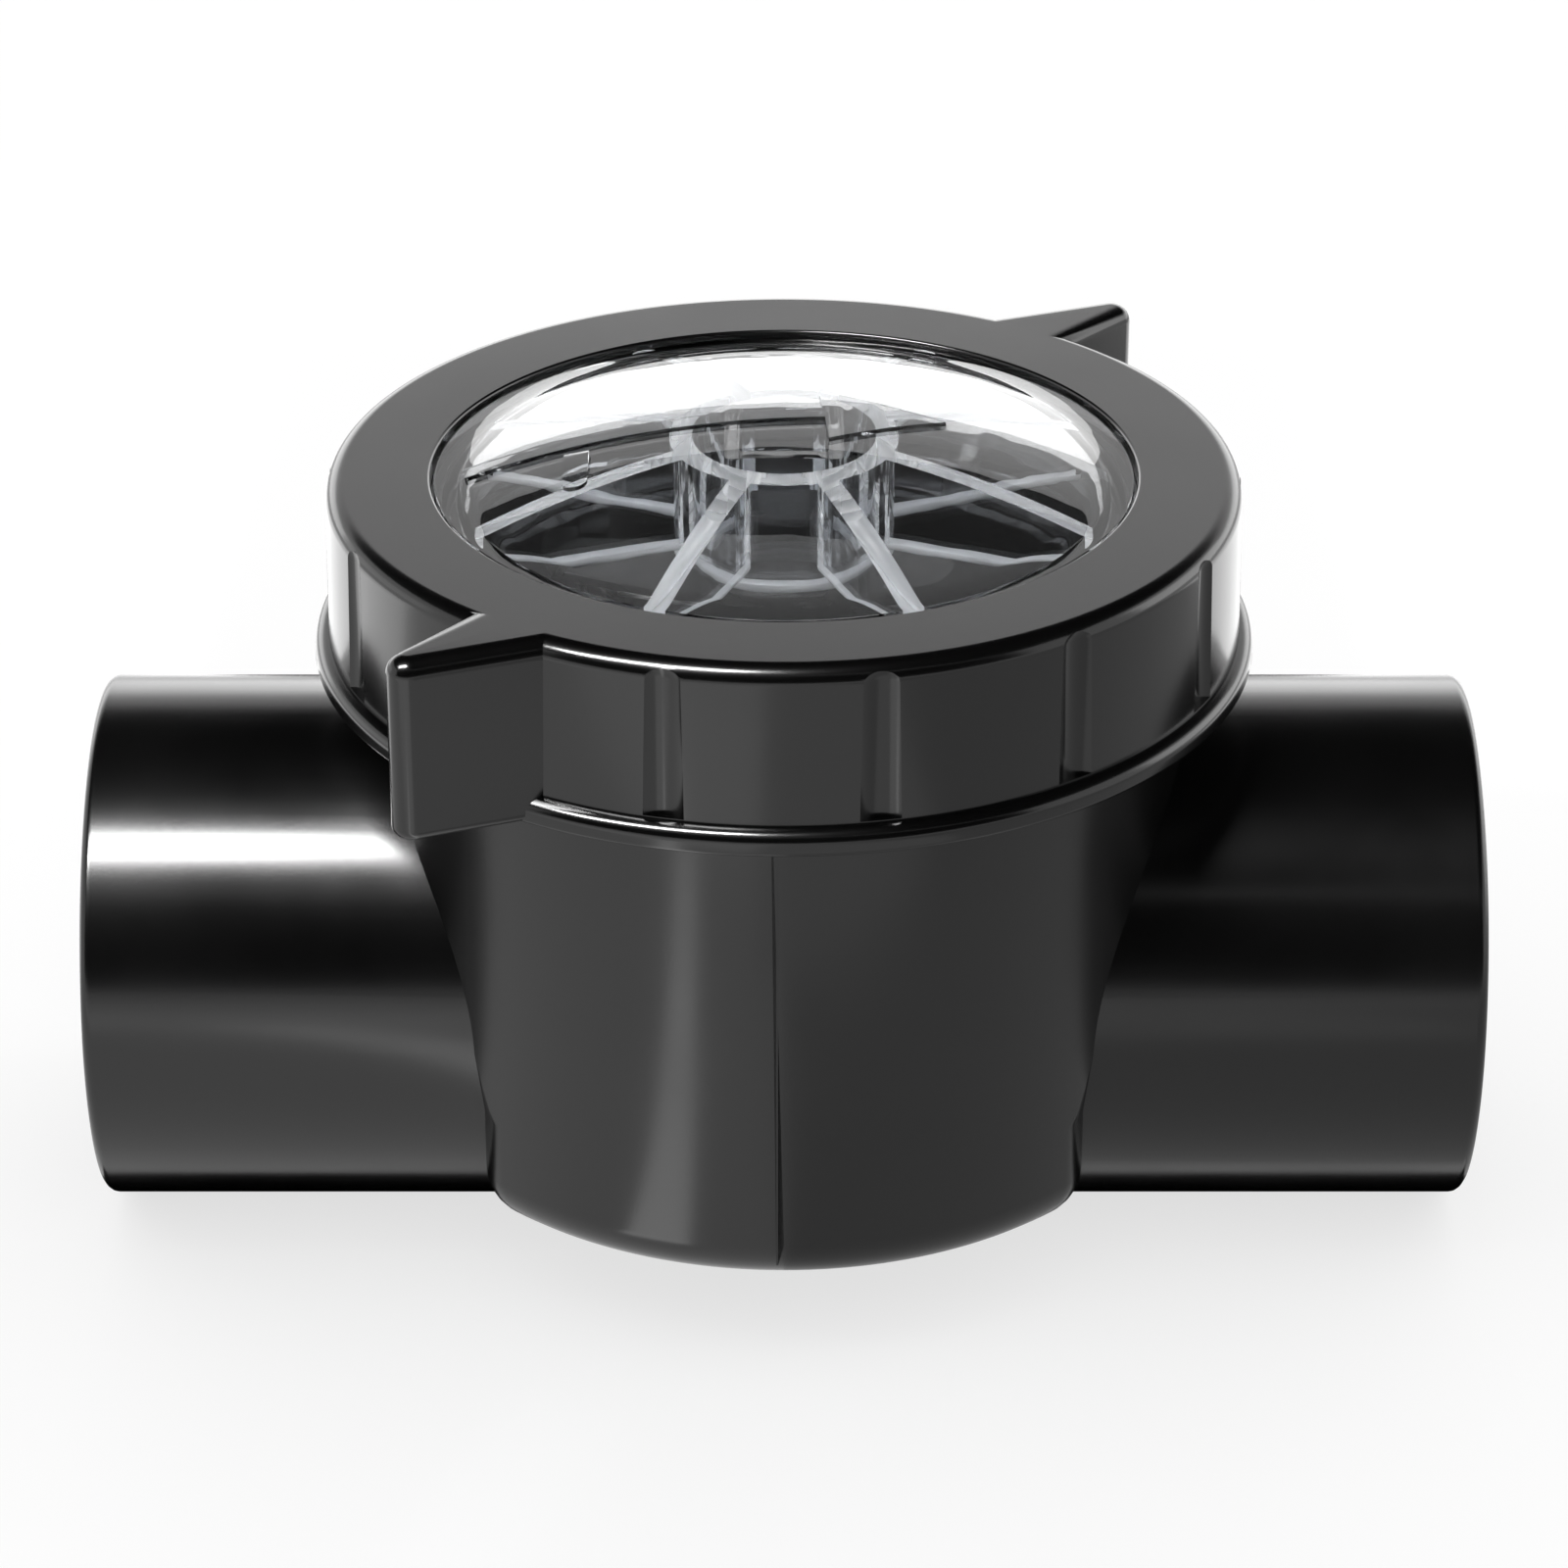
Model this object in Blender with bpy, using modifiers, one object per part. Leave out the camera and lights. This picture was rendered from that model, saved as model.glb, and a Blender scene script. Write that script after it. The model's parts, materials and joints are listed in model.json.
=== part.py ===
"""Inline swing non-return valve with a clear lid under a screw-down lock ring, at real size in metres.

Water flows toward +X, +Z points up out of the lid, and Z is zero at the lowest line of the ports.
Every height named below is measured from the port axis, which an empty carries to its place.
"""

import math

import bmesh
import bpy
from mathutils import Matrix

MM = 0.001
FIT = 0.3 * MM  # gap between pieces that touch
MERGE = 0.01 * MM
FLAT_ANGLE = 0.001  # faces that meet at less than this many radians are one face
THROUGH = 1.0 * MM  # how far a cutter runs past the face it opens

# Facets round a full turn
BIG_STEPS = 52
BARREL_STEPS = 40
LID_STEPS = 40
SEAT_STEPS = 32
MID_STEPS = 28
SMALL_STEPS = 14
FINE_STEPS = 10

# Facets on a quarter of a turn
QUARTER_STEPS = 4
ROUND_STEPS = 3  # on small rounded edges
BEAD_STEPS = 2

# Pipe sockets and barrel
PIPE_OD = 60.3 * MM
SOCKET_CLEARANCE = 0.15 * MM
SOCKET_DEPTH = 37.0 * MM
SOCKET_LEAD_IN = 1.2 * MM
PORT_WALL = 6.2 * MM
PORT_EDGE = 1.5 * MM
OVERALL_LENGTH = 190.0 * MM
PASSAGE_BORE = 48.0 * MM

# Pot
POT_BORE = 100.0 * MM
POT_WALL = 5.5 * MM
POT_TOP_EDGE = 0.8 * MM
FLAT_WALL = 3.5 * MM  # side walls of the narrow part below the port axis
FLAT_CORNER = 8.0 * MM
UNDERSIDE_DEPTH = 24.0 * MM
UNDERSIDE_EDGE = 7.0 * MM
FLOOR_WALL = 4.0 * MM
OUTLET_STEP = 5.0 * MM  # the chamber is fully round from this height up, on the outlet side
RAIL_THICKNESS = 4.0 * MM
RAIL_BOTTOM = 6.0 * MM
RAIL_GRIP = 2.5 * MM  # how far a rail covers the edge of the seat frame

# Seat frame
SEAT_TILT = math.radians(6)
SEAT_LIP = 4.0 * MM
SEAT_OFFSET = 5.0 * MM  # from the pin back to the seat face, square to the seat
SEAT_TO_PIN = 5.0 * MM  # from the seat ring up to the pin
FRAME_MARGIN = 1.7 * MM
FRAME_EAR = 3.3 * MM
FRAME_THICKNESS = 5.0 * MM
FRAME_ABOVE_BRACKET = 2.0 * MM
GASKET_THICKNESS = 2.0 * MM
GASKET_LAP = 1.2 * MM
BRIDGE_RISE = 9.0 * MM  # bridge top over the frame's plate
BRIDGE_THICKNESS = 5.0 * MM
BRIDGE_WIDTH = 18.0 * MM
BRIDGE_SHOULDER = 6.0 * MM
BRIDGE_BOSS = 26.0 * MM
BRIDGE_INSET = 0.5 * MM  # how far the bridge stays inside the plate's faces and the boss's ends
PEG_WIDTH = 11.0 * MM
PEG_HEIGHT = 8.5 * MM
PEG_EDGE = 0.8 * MM
GUSSET_THICKNESS = 3.0 * MM

# Hinge
PIN_RADIUS = 2.5 * MM
PIN_GROOVE_DEPTH = 0.5 * MM
PIN_END = 1.6 * MM  # past each clip
HUB_RADIUS = 5.2 * MM
HUB_HALF = 8.0 * MM
HUB_TO_BRACKET = 0.6 * MM
COIL_RADIUS = 4.3 * MM
WIRE_RADIUS = 0.6 * MM
COIL_TURNS = 3
COIL_PITCH = 1.4 * MM
COIL_POINTS = 10
SPRING_LEG = 17.0 * MM
SPRING_HOLE = 1.0 * MM
BUSH_WALL = 0.9 * MM
BUSH_FLANGE = 5.0 * MM
BUSH_FLANGE_THICKNESS = 1.0 * MM
EAR_THICKNESS = 3.0 * MM
EAR_RADIUS = 6.6 * MM
BRACKET_THICKNESS = 2.4 * MM
BRACKET_HALF_WIDTH = 24.0 * MM
BRACKET_OVER_SEAT = 2.4 * MM
BRACKET_EDGE = 4.0 * MM  # from a screw's centre to the bracket's top
CLIP_RADIUS = 4.6 * MM
CLIP_THICKNESS = 1.0 * MM
CLIP_MOUTH = math.radians(80)
SCREW_Y = 12.0 * MM
SCREW_HEAD_RADIUS = 3.0 * MM
SCREW_HEAD_HEIGHT = 2.0 * MM
SCREW_HEAD_EDGE = 0.9 * MM
SCREW_RADIUS = 1.6 * MM
SCREW_DEPTH = 3.0 * MM  # into the frame
SCREW_TO_COIL = 1.2 * MM

# Flap
SEAL_OVERLAP = 2.5 * MM
SEAL_THICKNESS = 2.7 * MM
RETAINER_INSET = 5.0 * MM
RETAINER_THICKNESS = 2.3 * MM
DISC_OVER_SEAL = 0.5 * MM
DISC_EDGE = 1.0 * MM
ARM_THICKNESS = 5.0 * MM
ARM_HALF_WIDTH = 7.0 * MM
ARM_BOSS = 8.0 * MM
ARM_RIB = 3.0 * MM
ARM_RIB_THICKNESS = 3.0 * MM
BOLT_RADIUS = 2.8 * MM
BOLT_HEAD_RADIUS = 5.4 * MM
BOLT_HEAD_HEIGHT = 3.6 * MM
BOLT_PAST_NUT = 1.3 * MM
WASHER_RADIUS = 6.5 * MM
WASHER_THICKNESS = 1.2 * MM
NUT_RADIUS = 5.2 * MM
NUT_HEIGHT = 4.4 * MM
NUT_SIDES = 6
OPEN_ANGLE = math.radians(65)
BUMPER_RADIUS = 5.0 * MM
BUMPER_WALL = 2.4 * MM
BUMPER_POCKET = 4.0 * MM
BUMPER_CUP = 6.0 * MM

# Lid
SKIRT_OVER_FRAME = 2.0 * MM
SKIRT_LENGTH = 13.4 * MM
SKIRT_CLEARANCE = 0.4 * MM
SKIRT_WALL = 6.2 * MM
SKIRT_EDGE = 0.6 * MM
O_RING_SECTION = 3.5 * MM
O_RING_SLOT = 3.9 * MM
O_RING_ABOVE_SKIRT_END = 5.0 * MM
FLANGE_THICKNESS = 5.0 * MM
FLANGE_INSET = 0.5 * MM
RIM_SHOWN = 3.6 * MM
DOME_RISE = 9.3 * MM
DOME_WALL = 3.5 * MM
DOME_RINGS = 5
HUB_TUBE_RADIUS = 15.2 * MM
HUB_TUBE_WALL = 3.0 * MM
PEG_CLEARANCE = 0.4 * MM
SOCKET_WALL = 2.0 * MM
RIB_COUNT = 8
RIB_THICKNESS = 3.0 * MM
RIB_OVER_BRIDGE = 4.0 * MM

# Lock ring
THREAD_ROOM = 1.7 * MM
RING_WALL = 4.1 * MM
RING_HEIGHT = 26.0 * MM
RING_DRAFT = 0.5 * MM
RING_TOP_EDGE = 2.5 * MM
RING_LIP = 3.0 * MM
LIP_REACH = 9.8 * MM
LIP_EDGE = 0.6 * MM
LIP_FALL = 1.2 * MM  # the top face slopes down by this much to the opening
BEAD_OUT = 3.2 * MM
BEAD_HEIGHT = 4.2 * MM
BEAD_EDGE = 1.2 * MM
RING_DIVISIONS = 14
LUG_DIVISIONS = (0, 7)
GROOVE_PHASE = math.radians(-40)
GROOVE_WIDTH = 5.0 * MM
GROOVE_DEPTH = 1.2 * MM
GROOVE_END = 1.6 * MM  # from each groove's round end to the ring's top
LUG_REACH = 14.2 * MM
LUG_TIP = 2.8 * MM
LUG_ROOT_LEAD = math.radians(9.5)
LUG_ROOT_LAG = math.radians(-2.5)
LUG_HOLLOW_LAG = math.radians(-1.7)  # where the hollow flank meets the ring's wall
LUG_TIP_LAG = math.radians(-1)
LUG_TIP_WRAP = math.radians(95)  # how far the round tip runs on past the outward direction
LUG_TOP_EDGE = 2.2 * MM
LUG_FACETS = 6

# Radii and places that follow from the sizes above
SOCKET_RADIUS = PIPE_OD / 2 + SOCKET_CLEARANCE
PORT_RADIUS = SOCKET_RADIUS + PORT_WALL
HALF_LENGTH = OVERALL_LENGTH / 2
SOCKET_STOP = HALF_LENGTH - SOCKET_DEPTH
PASSAGE_RADIUS = PASSAGE_BORE / 2
BORE_RADIUS = POT_BORE / 2
POT_RADIUS = BORE_RADIUS + POT_WALL

SEAT_RADIUS = PASSAGE_RADIUS + SEAT_LIP
FRAME_HALF_WIDTH = SEAT_RADIUS + FRAME_MARGIN
EAR_HALF_WIDTH = FRAME_HALF_WIDTH + FRAME_EAR
TROUGH_RADIUS = FRAME_HALF_WIDTH + FIT
CHAMBER_HALF = math.sqrt(BORE_RADIUS**2 - (EAR_HALF_WIDTH + FIT) ** 2)
FLAT_HALF = CHAMBER_HALF + FLAT_WALL
FLOOR_Z = FLOOR_WALL - UNDERSIDE_DEPTH

GASKET_BACK = FIT - CHAMBER_HALF
FRAME_BACK = GASKET_BACK + GASKET_THICKNESS + FIT
FRAME_FRONT = FRAME_BACK + FRAME_THICKNESS
BRACKET_BACK = FRAME_FRONT + FIT
BRACKET_FRONT = BRACKET_BACK + BRACKET_THICKNESS
ARM_LENGTH = SEAT_RADIUS + SEAT_TO_PIN
PIN_X = BRACKET_FRONT + HUB_TO_BRACKET + HUB_RADIUS
PIN_Z = ARM_LENGTH * math.cos(SEAT_TILT) + SEAT_OFFSET * math.sin(SEAT_TILT)
SEAT_LOW_REACH = (ARM_LENGTH + SEAT_RADIUS) * math.sin(SEAT_TILT) + PIN_X - FRAME_BACK
SEAT_DEPTH = SEAT_LOW_REACH / math.cos(SEAT_TILT) - SEAT_OFFSET  # from its lowest point to the frame's back
COIL_OUTER = COIL_RADIUS + WIRE_RADIUS
SCREW_Z = PIN_Z + COIL_OUTER + SCREW_TO_COIL + SCREW_HEAD_RADIUS
BRACKET_TOP = SCREW_Z + BRACKET_EDGE
BRACKET_BOTTOM = SEAT_RADIUS + BRACKET_OVER_SEAT
FRAME_TOP = BRACKET_TOP + FRAME_ABOVE_BRACKET
SHELF_Z = PIN_Z + HUB_RADIUS  # top of the flat wall that the frame seals on
BRIDGE_TOP = FRAME_TOP + BRIDGE_RISE
BRIDGE_BOTTOM = BRIDGE_TOP - BRIDGE_THICKNESS
BRIDGE_HALF = BRIDGE_WIDTH / 2

HUB_END = HUB_HALF + FIT
COIL_START = HUB_END + FIT + WIRE_RADIUS
COIL_END = COIL_START + COIL_PITCH * (COIL_TURNS + (math.pi / 2 - SEAT_TILT) / math.tau)
BUSH_FLANGE_INNER = COIL_END + WIRE_RADIUS + 2 * FIT
EAR_INNER = BUSH_FLANGE_INNER + BUSH_FLANGE_THICKNESS + FIT
EAR_OUTER = EAR_INNER + EAR_THICKNESS
CLIP_INNER = EAR_OUTER + FIT
CLIP_OUTER = CLIP_INNER + CLIP_THICKNESS
BUSH_BORE = PIN_RADIUS + FIT
BUSH_RADIUS = BUSH_BORE + BUSH_WALL
EAR_HOLE = BUSH_RADIUS + FIT
PIN_HALF = CLIP_OUTER + PIN_END

FLAP_RADIUS = PASSAGE_RADIUS + SEAL_OVERLAP
SEAL_BACK = FIT - SEAT_OFFSET
SEAL_FRONT = SEAL_BACK + SEAL_THICKNESS
RETAINER_FRONT = SEAL_BACK - FIT
RETAINER_BACK = RETAINER_FRONT - RETAINER_THICKNESS
RETAINER_RADIUS = PASSAGE_RADIUS - RETAINER_INSET
DISC_BACK = SEAL_FRONT + FIT
DISC_FRONT = COIL_RADIUS - WIRE_RADIUS - FIT
DISC_RADIUS = FLAP_RADIUS + DISC_OVER_SEAL
ARM_BACK = DISC_FRONT + FIT
ARM_FRONT = ARM_BACK + ARM_THICKNESS
BOLT_HEAD_FRONT = RETAINER_BACK - FIT
WASHER_BACK = ARM_FRONT + FIT
WASHER_FRONT = WASHER_BACK + WASHER_THICKNESS
NUT_BACK = WASHER_FRONT + FIT
BOLT_END = NUT_BACK + NUT_HEIGHT + BOLT_PAST_NUT
BOLT_HOLE = BOLT_RADIUS + FIT

# Where the end of the centre bolt stands when the flap is fully open
OPEN_TILT = SEAT_TILT + OPEN_ANGLE
BUMPER_X = PIN_X + ARM_LENGTH * math.sin(OPEN_TILT) + BOLT_END * math.cos(OPEN_TILT)
BOLT_END_Z = PIN_Z - ARM_LENGTH * math.cos(OPEN_TILT) + BOLT_END * math.sin(OPEN_TILT)
BUMPER_BOTTOM = BOLT_END_Z + BOLT_RADIUS * math.cos(OPEN_TILT) + 2 * FIT
CUP_BOTTOM = BRIDGE_BOTTOM - BUMPER_CUP
BUMPER_TOP = CUP_BOTTOM + BUMPER_POCKET
CUP_RADIUS = BUMPER_RADIUS + FIT + BUMPER_WALL

SKIRT_BOTTOM = FRAME_TOP + SKIRT_OVER_FRAME
NECK_TOP = SKIRT_BOTTOM + SKIRT_LENGTH
FLANGE_BOTTOM = NECK_TOP + FIT
FLANGE_TOP = FLANGE_BOTTOM + FLANGE_THICKNESS
FLANGE_RADIUS = POT_RADIUS - FLANGE_INSET
LIP_BOTTOM = FLANGE_TOP + FIT
RING_TOP = LIP_BOTTOM + RING_LIP
RING_BOTTOM = RING_TOP - RING_HEIGHT
RING_BORE = POT_RADIUS + THREAD_ROOM
RING_RADIUS = RING_BORE + RING_WALL
OPENING_RADIUS = RING_BORE - LIP_REACH
SKIRT_RADIUS = BORE_RADIUS - SKIRT_CLEARANCE
SKIRT_INNER = SKIRT_RADIUS - SKIRT_WALL
O_RING_OUTER = BORE_RADIUS - FIT
O_RING_INNER = O_RING_OUTER - O_RING_SECTION
O_RING_SLOT_RADIUS = O_RING_INNER - FIT
O_RING_Z = SKIRT_BOTTOM + O_RING_ABOVE_SKIRT_END + O_RING_SLOT / 2
DOME_CHORD = OPENING_RADIUS - RIM_SHOWN
DOME_RADIUS = (DOME_CHORD**2 + DOME_RISE**2) / (2 * DOME_RISE)
DOME_TOP = FLANGE_TOP + DOME_RISE
DOME_CENTRE = DOME_TOP - DOME_RADIUS
HUB_BOTTOM = BRIDGE_TOP + FIT
RIB_BOTTOM = BRIDGE_TOP + RIB_OVER_BRIDGE

PLANES = {
    "XY": Matrix.Identity(4),
    "XZ": Matrix(((1, 0, 0, 0), (0, 0, -1, 0), (0, 1, 0, 0), (0, 0, 0, 1))),
    "YZ": Matrix(((0, 0, 1, 0), (1, 0, 0, 0), (0, 1, 0, 0), (0, 0, 0, 1))),
}
ALONG = {"X": (0, math.pi / 2, 0), "Y": (-math.pi / 2, 0, 0), "Z": (0, 0, 0)}


# Scene, materials and placing


def clear_scene():
    for obj in list(bpy.data.objects):
        bpy.data.objects.remove(obj, do_unlink=True)


def new_collection(name):
    made = bpy.data.collections.new(name)
    bpy.context.scene.collection.children.link(made)
    return made


def new_empty(name, location, parent=None, tilt=0.0):
    empty = bpy.data.objects.new(name, None)
    empty.location = location
    empty.rotation_euler = (0, -tilt, 0)
    empty.parent = parent
    parts.objects.link(empty)
    return empty


def new_material(name, colour, roughness, metallic=0.0, transmission=0.0):
    material = bpy.data.materials.new(name)
    material.use_nodes = True
    shader = material.node_tree.nodes["Principled BSDF"]
    shader.inputs["Base Color"].default_value = (*colour, 1)
    shader.inputs["Roughness"].default_value = roughness
    shader.inputs["Metallic"].default_value = metallic
    shader.inputs["Transmission Weight"].default_value = transmission
    return material


def add_part(obj, material, parent):
    """Puts a finished piece among the parts, in its own copy of the material."""
    obj.data.materials.clear()
    own = material.copy()
    own.name = obj.name
    obj.data.materials.append(own)
    obj.parent = parent
    parts.objects.link(obj)
    if obj.type == "MESH":
        obj.modifiers.new("Shading", "WEIGHTED_NORMAL").keep_sharp = True


def use_operand(obj, operand, operation, parent):
    operand.parent = parent
    operand.hide_render = True
    operand.display_type = "WIRE"
    cutters.objects.link(operand)
    boolean = obj.modifiers.new(operand.name, "BOOLEAN")
    boolean.operation = operation
    boolean.object = operand


def cut(obj, cutter, parent):
    use_operand(obj, cutter, "DIFFERENCE", parent)


def join(obj, piece, parent):
    use_operand(obj, piece, "UNION", parent)


# Outlines


def arc(centre, radius, start, end, steps):
    """Points along an arc, with both ends, in a plane of two axes."""
    turn = [start + (end - start) * i / steps for i in range(steps + 1)]
    return [(centre[0] + radius * math.cos(a), centre[1] + radius * math.sin(a)) for a in turn]


def dome_arc(radius, start, end):
    """Points of the lid's dome at one of its two radii, between two distances from the lid axis."""
    spans = [start + (end - start) * i / DOME_RINGS for i in range(DOME_RINGS + 1)]
    return [(r, DOME_CENTRE + math.sqrt(radius**2 - r**2)) for r in spans]


# Solids


def turned(name, profile, steps, axis="Z", location=(0, 0, 0)):
    """A solid turned from (radius, height) points that run down its outer side first."""
    mesh = bpy.data.meshes.new(name)
    last = len(profile) - 1
    edges = [(i, i + 1) for i in range(last)]
    if profile[0][0] > 0:
        edges.append((last, 0))
    mesh.from_pydata([(radius, 0, height) for radius, height in profile], edges, [])
    obj = bpy.data.objects.new(name, mesh)
    screw = obj.modifiers.new("Turn", "SCREW")
    screw.steps = screw.render_steps = steps
    screw.use_merge_vertices = True
    screw.merge_threshold = MERGE
    screw.use_smooth_shade = True
    obj.rotation_euler = ALONG[axis]
    obj.location = location
    return obj


def rod(name, radius, start, end, axis, location=(0, 0, 0), steps=SMALL_STEPS):
    return turned(name, [(0, end), (radius, end), (radius, start), (0, start)], steps, axis, location)


def tube(name, outer, inner, start, end, axis, location=(0, 0, 0), steps=SMALL_STEPS):
    profile = [(outer, end), (outer, start), (inner, start), (inner, end)]
    return turned(name, profile, steps, axis, location)


def box(name, low, high):
    """A block between two opposite corners."""
    mesh = bpy.data.meshes.new(name)
    shape = bmesh.new()
    bmesh.ops.create_cube(shape, size=1.0)
    size = [b - a for a, b in zip(low, high)]
    middle = [(a + b) / 2 for a, b in zip(low, high)]
    bmesh.ops.scale(shape, vec=size, verts=shape.verts)
    bmesh.ops.translate(shape, vec=middle, verts=shape.verts)
    shape.to_mesh(mesh)
    shape.free()
    return bpy.data.objects.new(name, mesh)


def mesh_of_curve(obj):
    """The welded mesh of a curve object, which is then removed."""
    bpy.context.scene.collection.objects.link(obj)
    graph = bpy.context.evaluated_depsgraph_get()
    mesh = bpy.data.meshes.new_from_object(obj.evaluated_get(graph))
    shape = bmesh.new()
    shape.from_mesh(mesh)
    bmesh.ops.remove_doubles(shape, verts=shape.verts, dist=MERGE)
    bmesh.ops.dissolve_limit(shape, angle_limit=FLAT_ANGLE, verts=shape.verts, edges=shape.edges)
    shape.to_mesh(mesh)
    shape.free()
    mesh.name = obj.name
    bpy.data.objects.remove(obj, do_unlink=True)
    return mesh


def plate(name, outline, low, high, plane="XY"):
    """A flat outline given thickness between two levels of the axis that its plane leaves out."""
    curve = bpy.data.curves.new(name, "CURVE")
    curve.dimensions = "2D"
    curve.fill_mode = "BOTH"
    curve.extrude = (high - low) / 2
    spline = curve.splines.new("POLY")
    spline.points.add(len(outline) - 1)
    for point, (u, v) in zip(spline.points, outline):
        point.co = (u, v, 0, 1)
    spline.use_cyclic_u = True
    mesh = mesh_of_curve(bpy.data.objects.new(name, curve))
    mesh.transform(PLANES[plane] @ Matrix.Translation((0, 0, (low + high) / 2)))
    return bpy.data.objects.new(name, mesh)


def bevel_level(obj, level, width, segments):
    """Rounds the edges that lie in one level plane of a plate, by their bevel weight."""
    mesh = obj.data
    weights = mesh.attributes.new("bevel_weight_edge", "FLOAT", "EDGE")
    heights = [vertex.co.z for vertex in mesh.vertices]
    for edge, weight in zip(mesh.edges, weights.data):
        weight.value = float(all(abs(heights[i] - level) < MERGE for i in edge.vertices))
    bevel = obj.modifiers.new("Rounded edge", "BEVEL")
    bevel.limit_method = "WEIGHT"
    bevel.width = width
    bevel.segments = segments
    return obj


def wire(name, points, radius):
    """A round wire through a row of points, with capped ends."""
    curve = bpy.data.curves.new(name, "CURVE")
    curve.dimensions = "3D"
    curve.bevel_depth = radius
    curve.bevel_resolution = 2
    curve.use_fill_caps = True
    spline = curve.splines.new("POLY")
    spline.points.add(len(points) - 1)
    for point, place in zip(spline.points, points):
        point.co = (*place, 1)
    return bpy.data.objects.new(name, curve)


# Valve body


def barrel():
    end = HALF_LENGTH
    top = arc((PORT_RADIUS - PORT_EDGE, end - PORT_EDGE), PORT_EDGE, math.pi / 2, 0, ROUND_STEPS)
    bottom = [(radius, -height) for radius, height in reversed(top)]
    return turned("valve_body", [(0, end), *top, *bottom, (0, -end)], BARREL_STEPS, "X")


def pot_upper():
    shoulder = NECK_TOP - POT_TOP_EDGE
    profile = [(0, NECK_TOP), (POT_RADIUS - POT_TOP_EDGE, NECK_TOP), (POT_RADIUS, shoulder)]
    return turned("pot_upper", [*profile, (POT_RADIUS, 0), (0, 0)], BIG_STEPS)


def corner_angle(radius, reach, corner):
    """Where a circle meets a straight cut at this reach, as an angle from the cut's own direction."""
    return math.acos((reach - corner) / (radius - corner))


def clipped_circle(radius, left, right, corner=0.0):
    """A circle cut straight at two distances from its centre, with rounded corners where one is given."""
    points = []
    for side, reach, next_reach in ((1, right, left), (-1, left, right)):
        across = corner_angle(radius, reach, corner)
        after = corner_angle(radius, next_reach, corner)
        outline = arc((0, 0), radius, across, math.pi - after, BIG_STEPS // 3)
        if corner:
            rise = (radius - corner) * math.sin(across)
            lower = arc((reach - corner, -rise), corner, -across, 0, ROUND_STEPS)
            upper = arc((reach - corner, rise), corner, 0, across, ROUND_STEPS)
            outline = [*lower, *upper[:-1], *outline]
        points += [(side * x, side * y) for x, y in outline]
    return points


def pot_lower():
    outline = clipped_circle(POT_RADIUS, FLAT_HALF, FLAT_HALF, FLAT_CORNER)
    block = plate("pot_lower", outline, -UNDERSIDE_DEPTH, OUTLET_STEP)
    return bevel_level(block, -UNDERSIDE_DEPTH, UNDERSIDE_EDGE, ROUND_STEPS + 1)


def waterway_cutter():
    """Both sockets and the passage between them, as one turned form along the port axis."""
    mouth = HALF_LENGTH + THROUGH
    lead = SOCKET_RADIUS + SOCKET_LEAD_IN
    half = [(0, mouth), (lead, mouth), (lead, HALF_LENGTH), (SOCKET_RADIUS, HALF_LENGTH - SOCKET_LEAD_IN)]
    half += [(SOCKET_RADIUS, SOCKET_STOP), (PASSAGE_RADIUS, SOCKET_STOP)]
    other = [(radius, -place) for radius, place in reversed(half)]
    return turned("waterway", half + other, SEAT_STEPS, "X")


def add_chamber(body):
    top = NECK_TOP + THROUGH
    cut(body, rod("chamber_round", BORE_RADIUS, SHELF_Z, top, "Z", steps=BIG_STEPS), port_axis)
    middle = clipped_circle(BORE_RADIUS, CHAMBER_HALF, BORE_RADIUS)[:-1]
    cut(body, plate("chamber_middle", middle, OUTLET_STEP, SHELF_Z + THROUGH), port_axis)
    lower = clipped_circle(BORE_RADIUS, CHAMBER_HALF, CHAMBER_HALF)
    cut(body, plate("chamber_lower", lower, FLOOR_Z, OUTLET_STEP + THROUGH), port_axis)
    trough = rod("chamber_trough", TROUGH_RADIUS, -CHAMBER_HALF, CHAMBER_HALF, "X", steps=MID_STEPS)
    cut(body, trough, port_axis)


def add_frame_rails(body):
    """Two upright rails that hold the seat frame's ears against the inlet wall."""
    start = FRAME_FRONT + FIT
    end = start + RAIL_THICKNESS
    into_wall = math.sqrt(BORE_RADIUS**2 - end**2) + POT_WALL / 2
    for side, word in ((-1, "front"), (1, "rear")):
        near, far = sorted((side * (EAR_HALF_WIDTH - RAIL_GRIP), side * into_wall))
        rail = box(f"frame_rail_{word}", (start, near, RAIL_BOTTOM), (end, far, FRAME_TOP))
        join(body, rail, port_axis)


def make_valve_body():
    body = barrel()
    join(body, pot_upper(), port_axis)
    join(body, pot_lower(), port_axis)
    cut(body, waterway_cutter(), port_axis)
    add_chamber(body)
    add_frame_rails(body)
    add_part(body, black_plastic, port_axis)


# Lock ring


def ring_profile():
    wall_top = RING_RADIUS - RING_DRAFT
    bead = RING_RADIUS + BEAD_OUT
    bead_top = RING_BOTTOM + BEAD_HEIGHT
    corner = (wall_top - RING_TOP_EDGE, RING_TOP - RING_TOP_EDGE)
    outer = arc(corner, RING_TOP_EDGE, math.pi / 2, 0, ROUND_STEPS)
    shoulder = arc((bead - BEAD_EDGE, bead_top - BEAD_EDGE), BEAD_EDGE, math.pi / 2, 0, BEAD_STEPS)
    inner_top = RING_TOP - LIP_FALL
    profile = [(OPENING_RADIUS + LIP_EDGE, inner_top), *outer, (RING_RADIUS, bead_top + LIP_EDGE)]
    profile += [(RING_RADIUS + LIP_EDGE, bead_top), *shoulder]
    profile += [(bead, RING_BOTTOM + LIP_EDGE), (bead - LIP_EDGE, RING_BOTTOM), (RING_BORE, RING_BOTTOM)]
    profile += [(RING_BORE, LIP_BOTTOM), (OPENING_RADIUS, LIP_BOTTOM)]
    return [*profile, (OPENING_RADIUS, inner_top - LIP_EDGE)]


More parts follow.
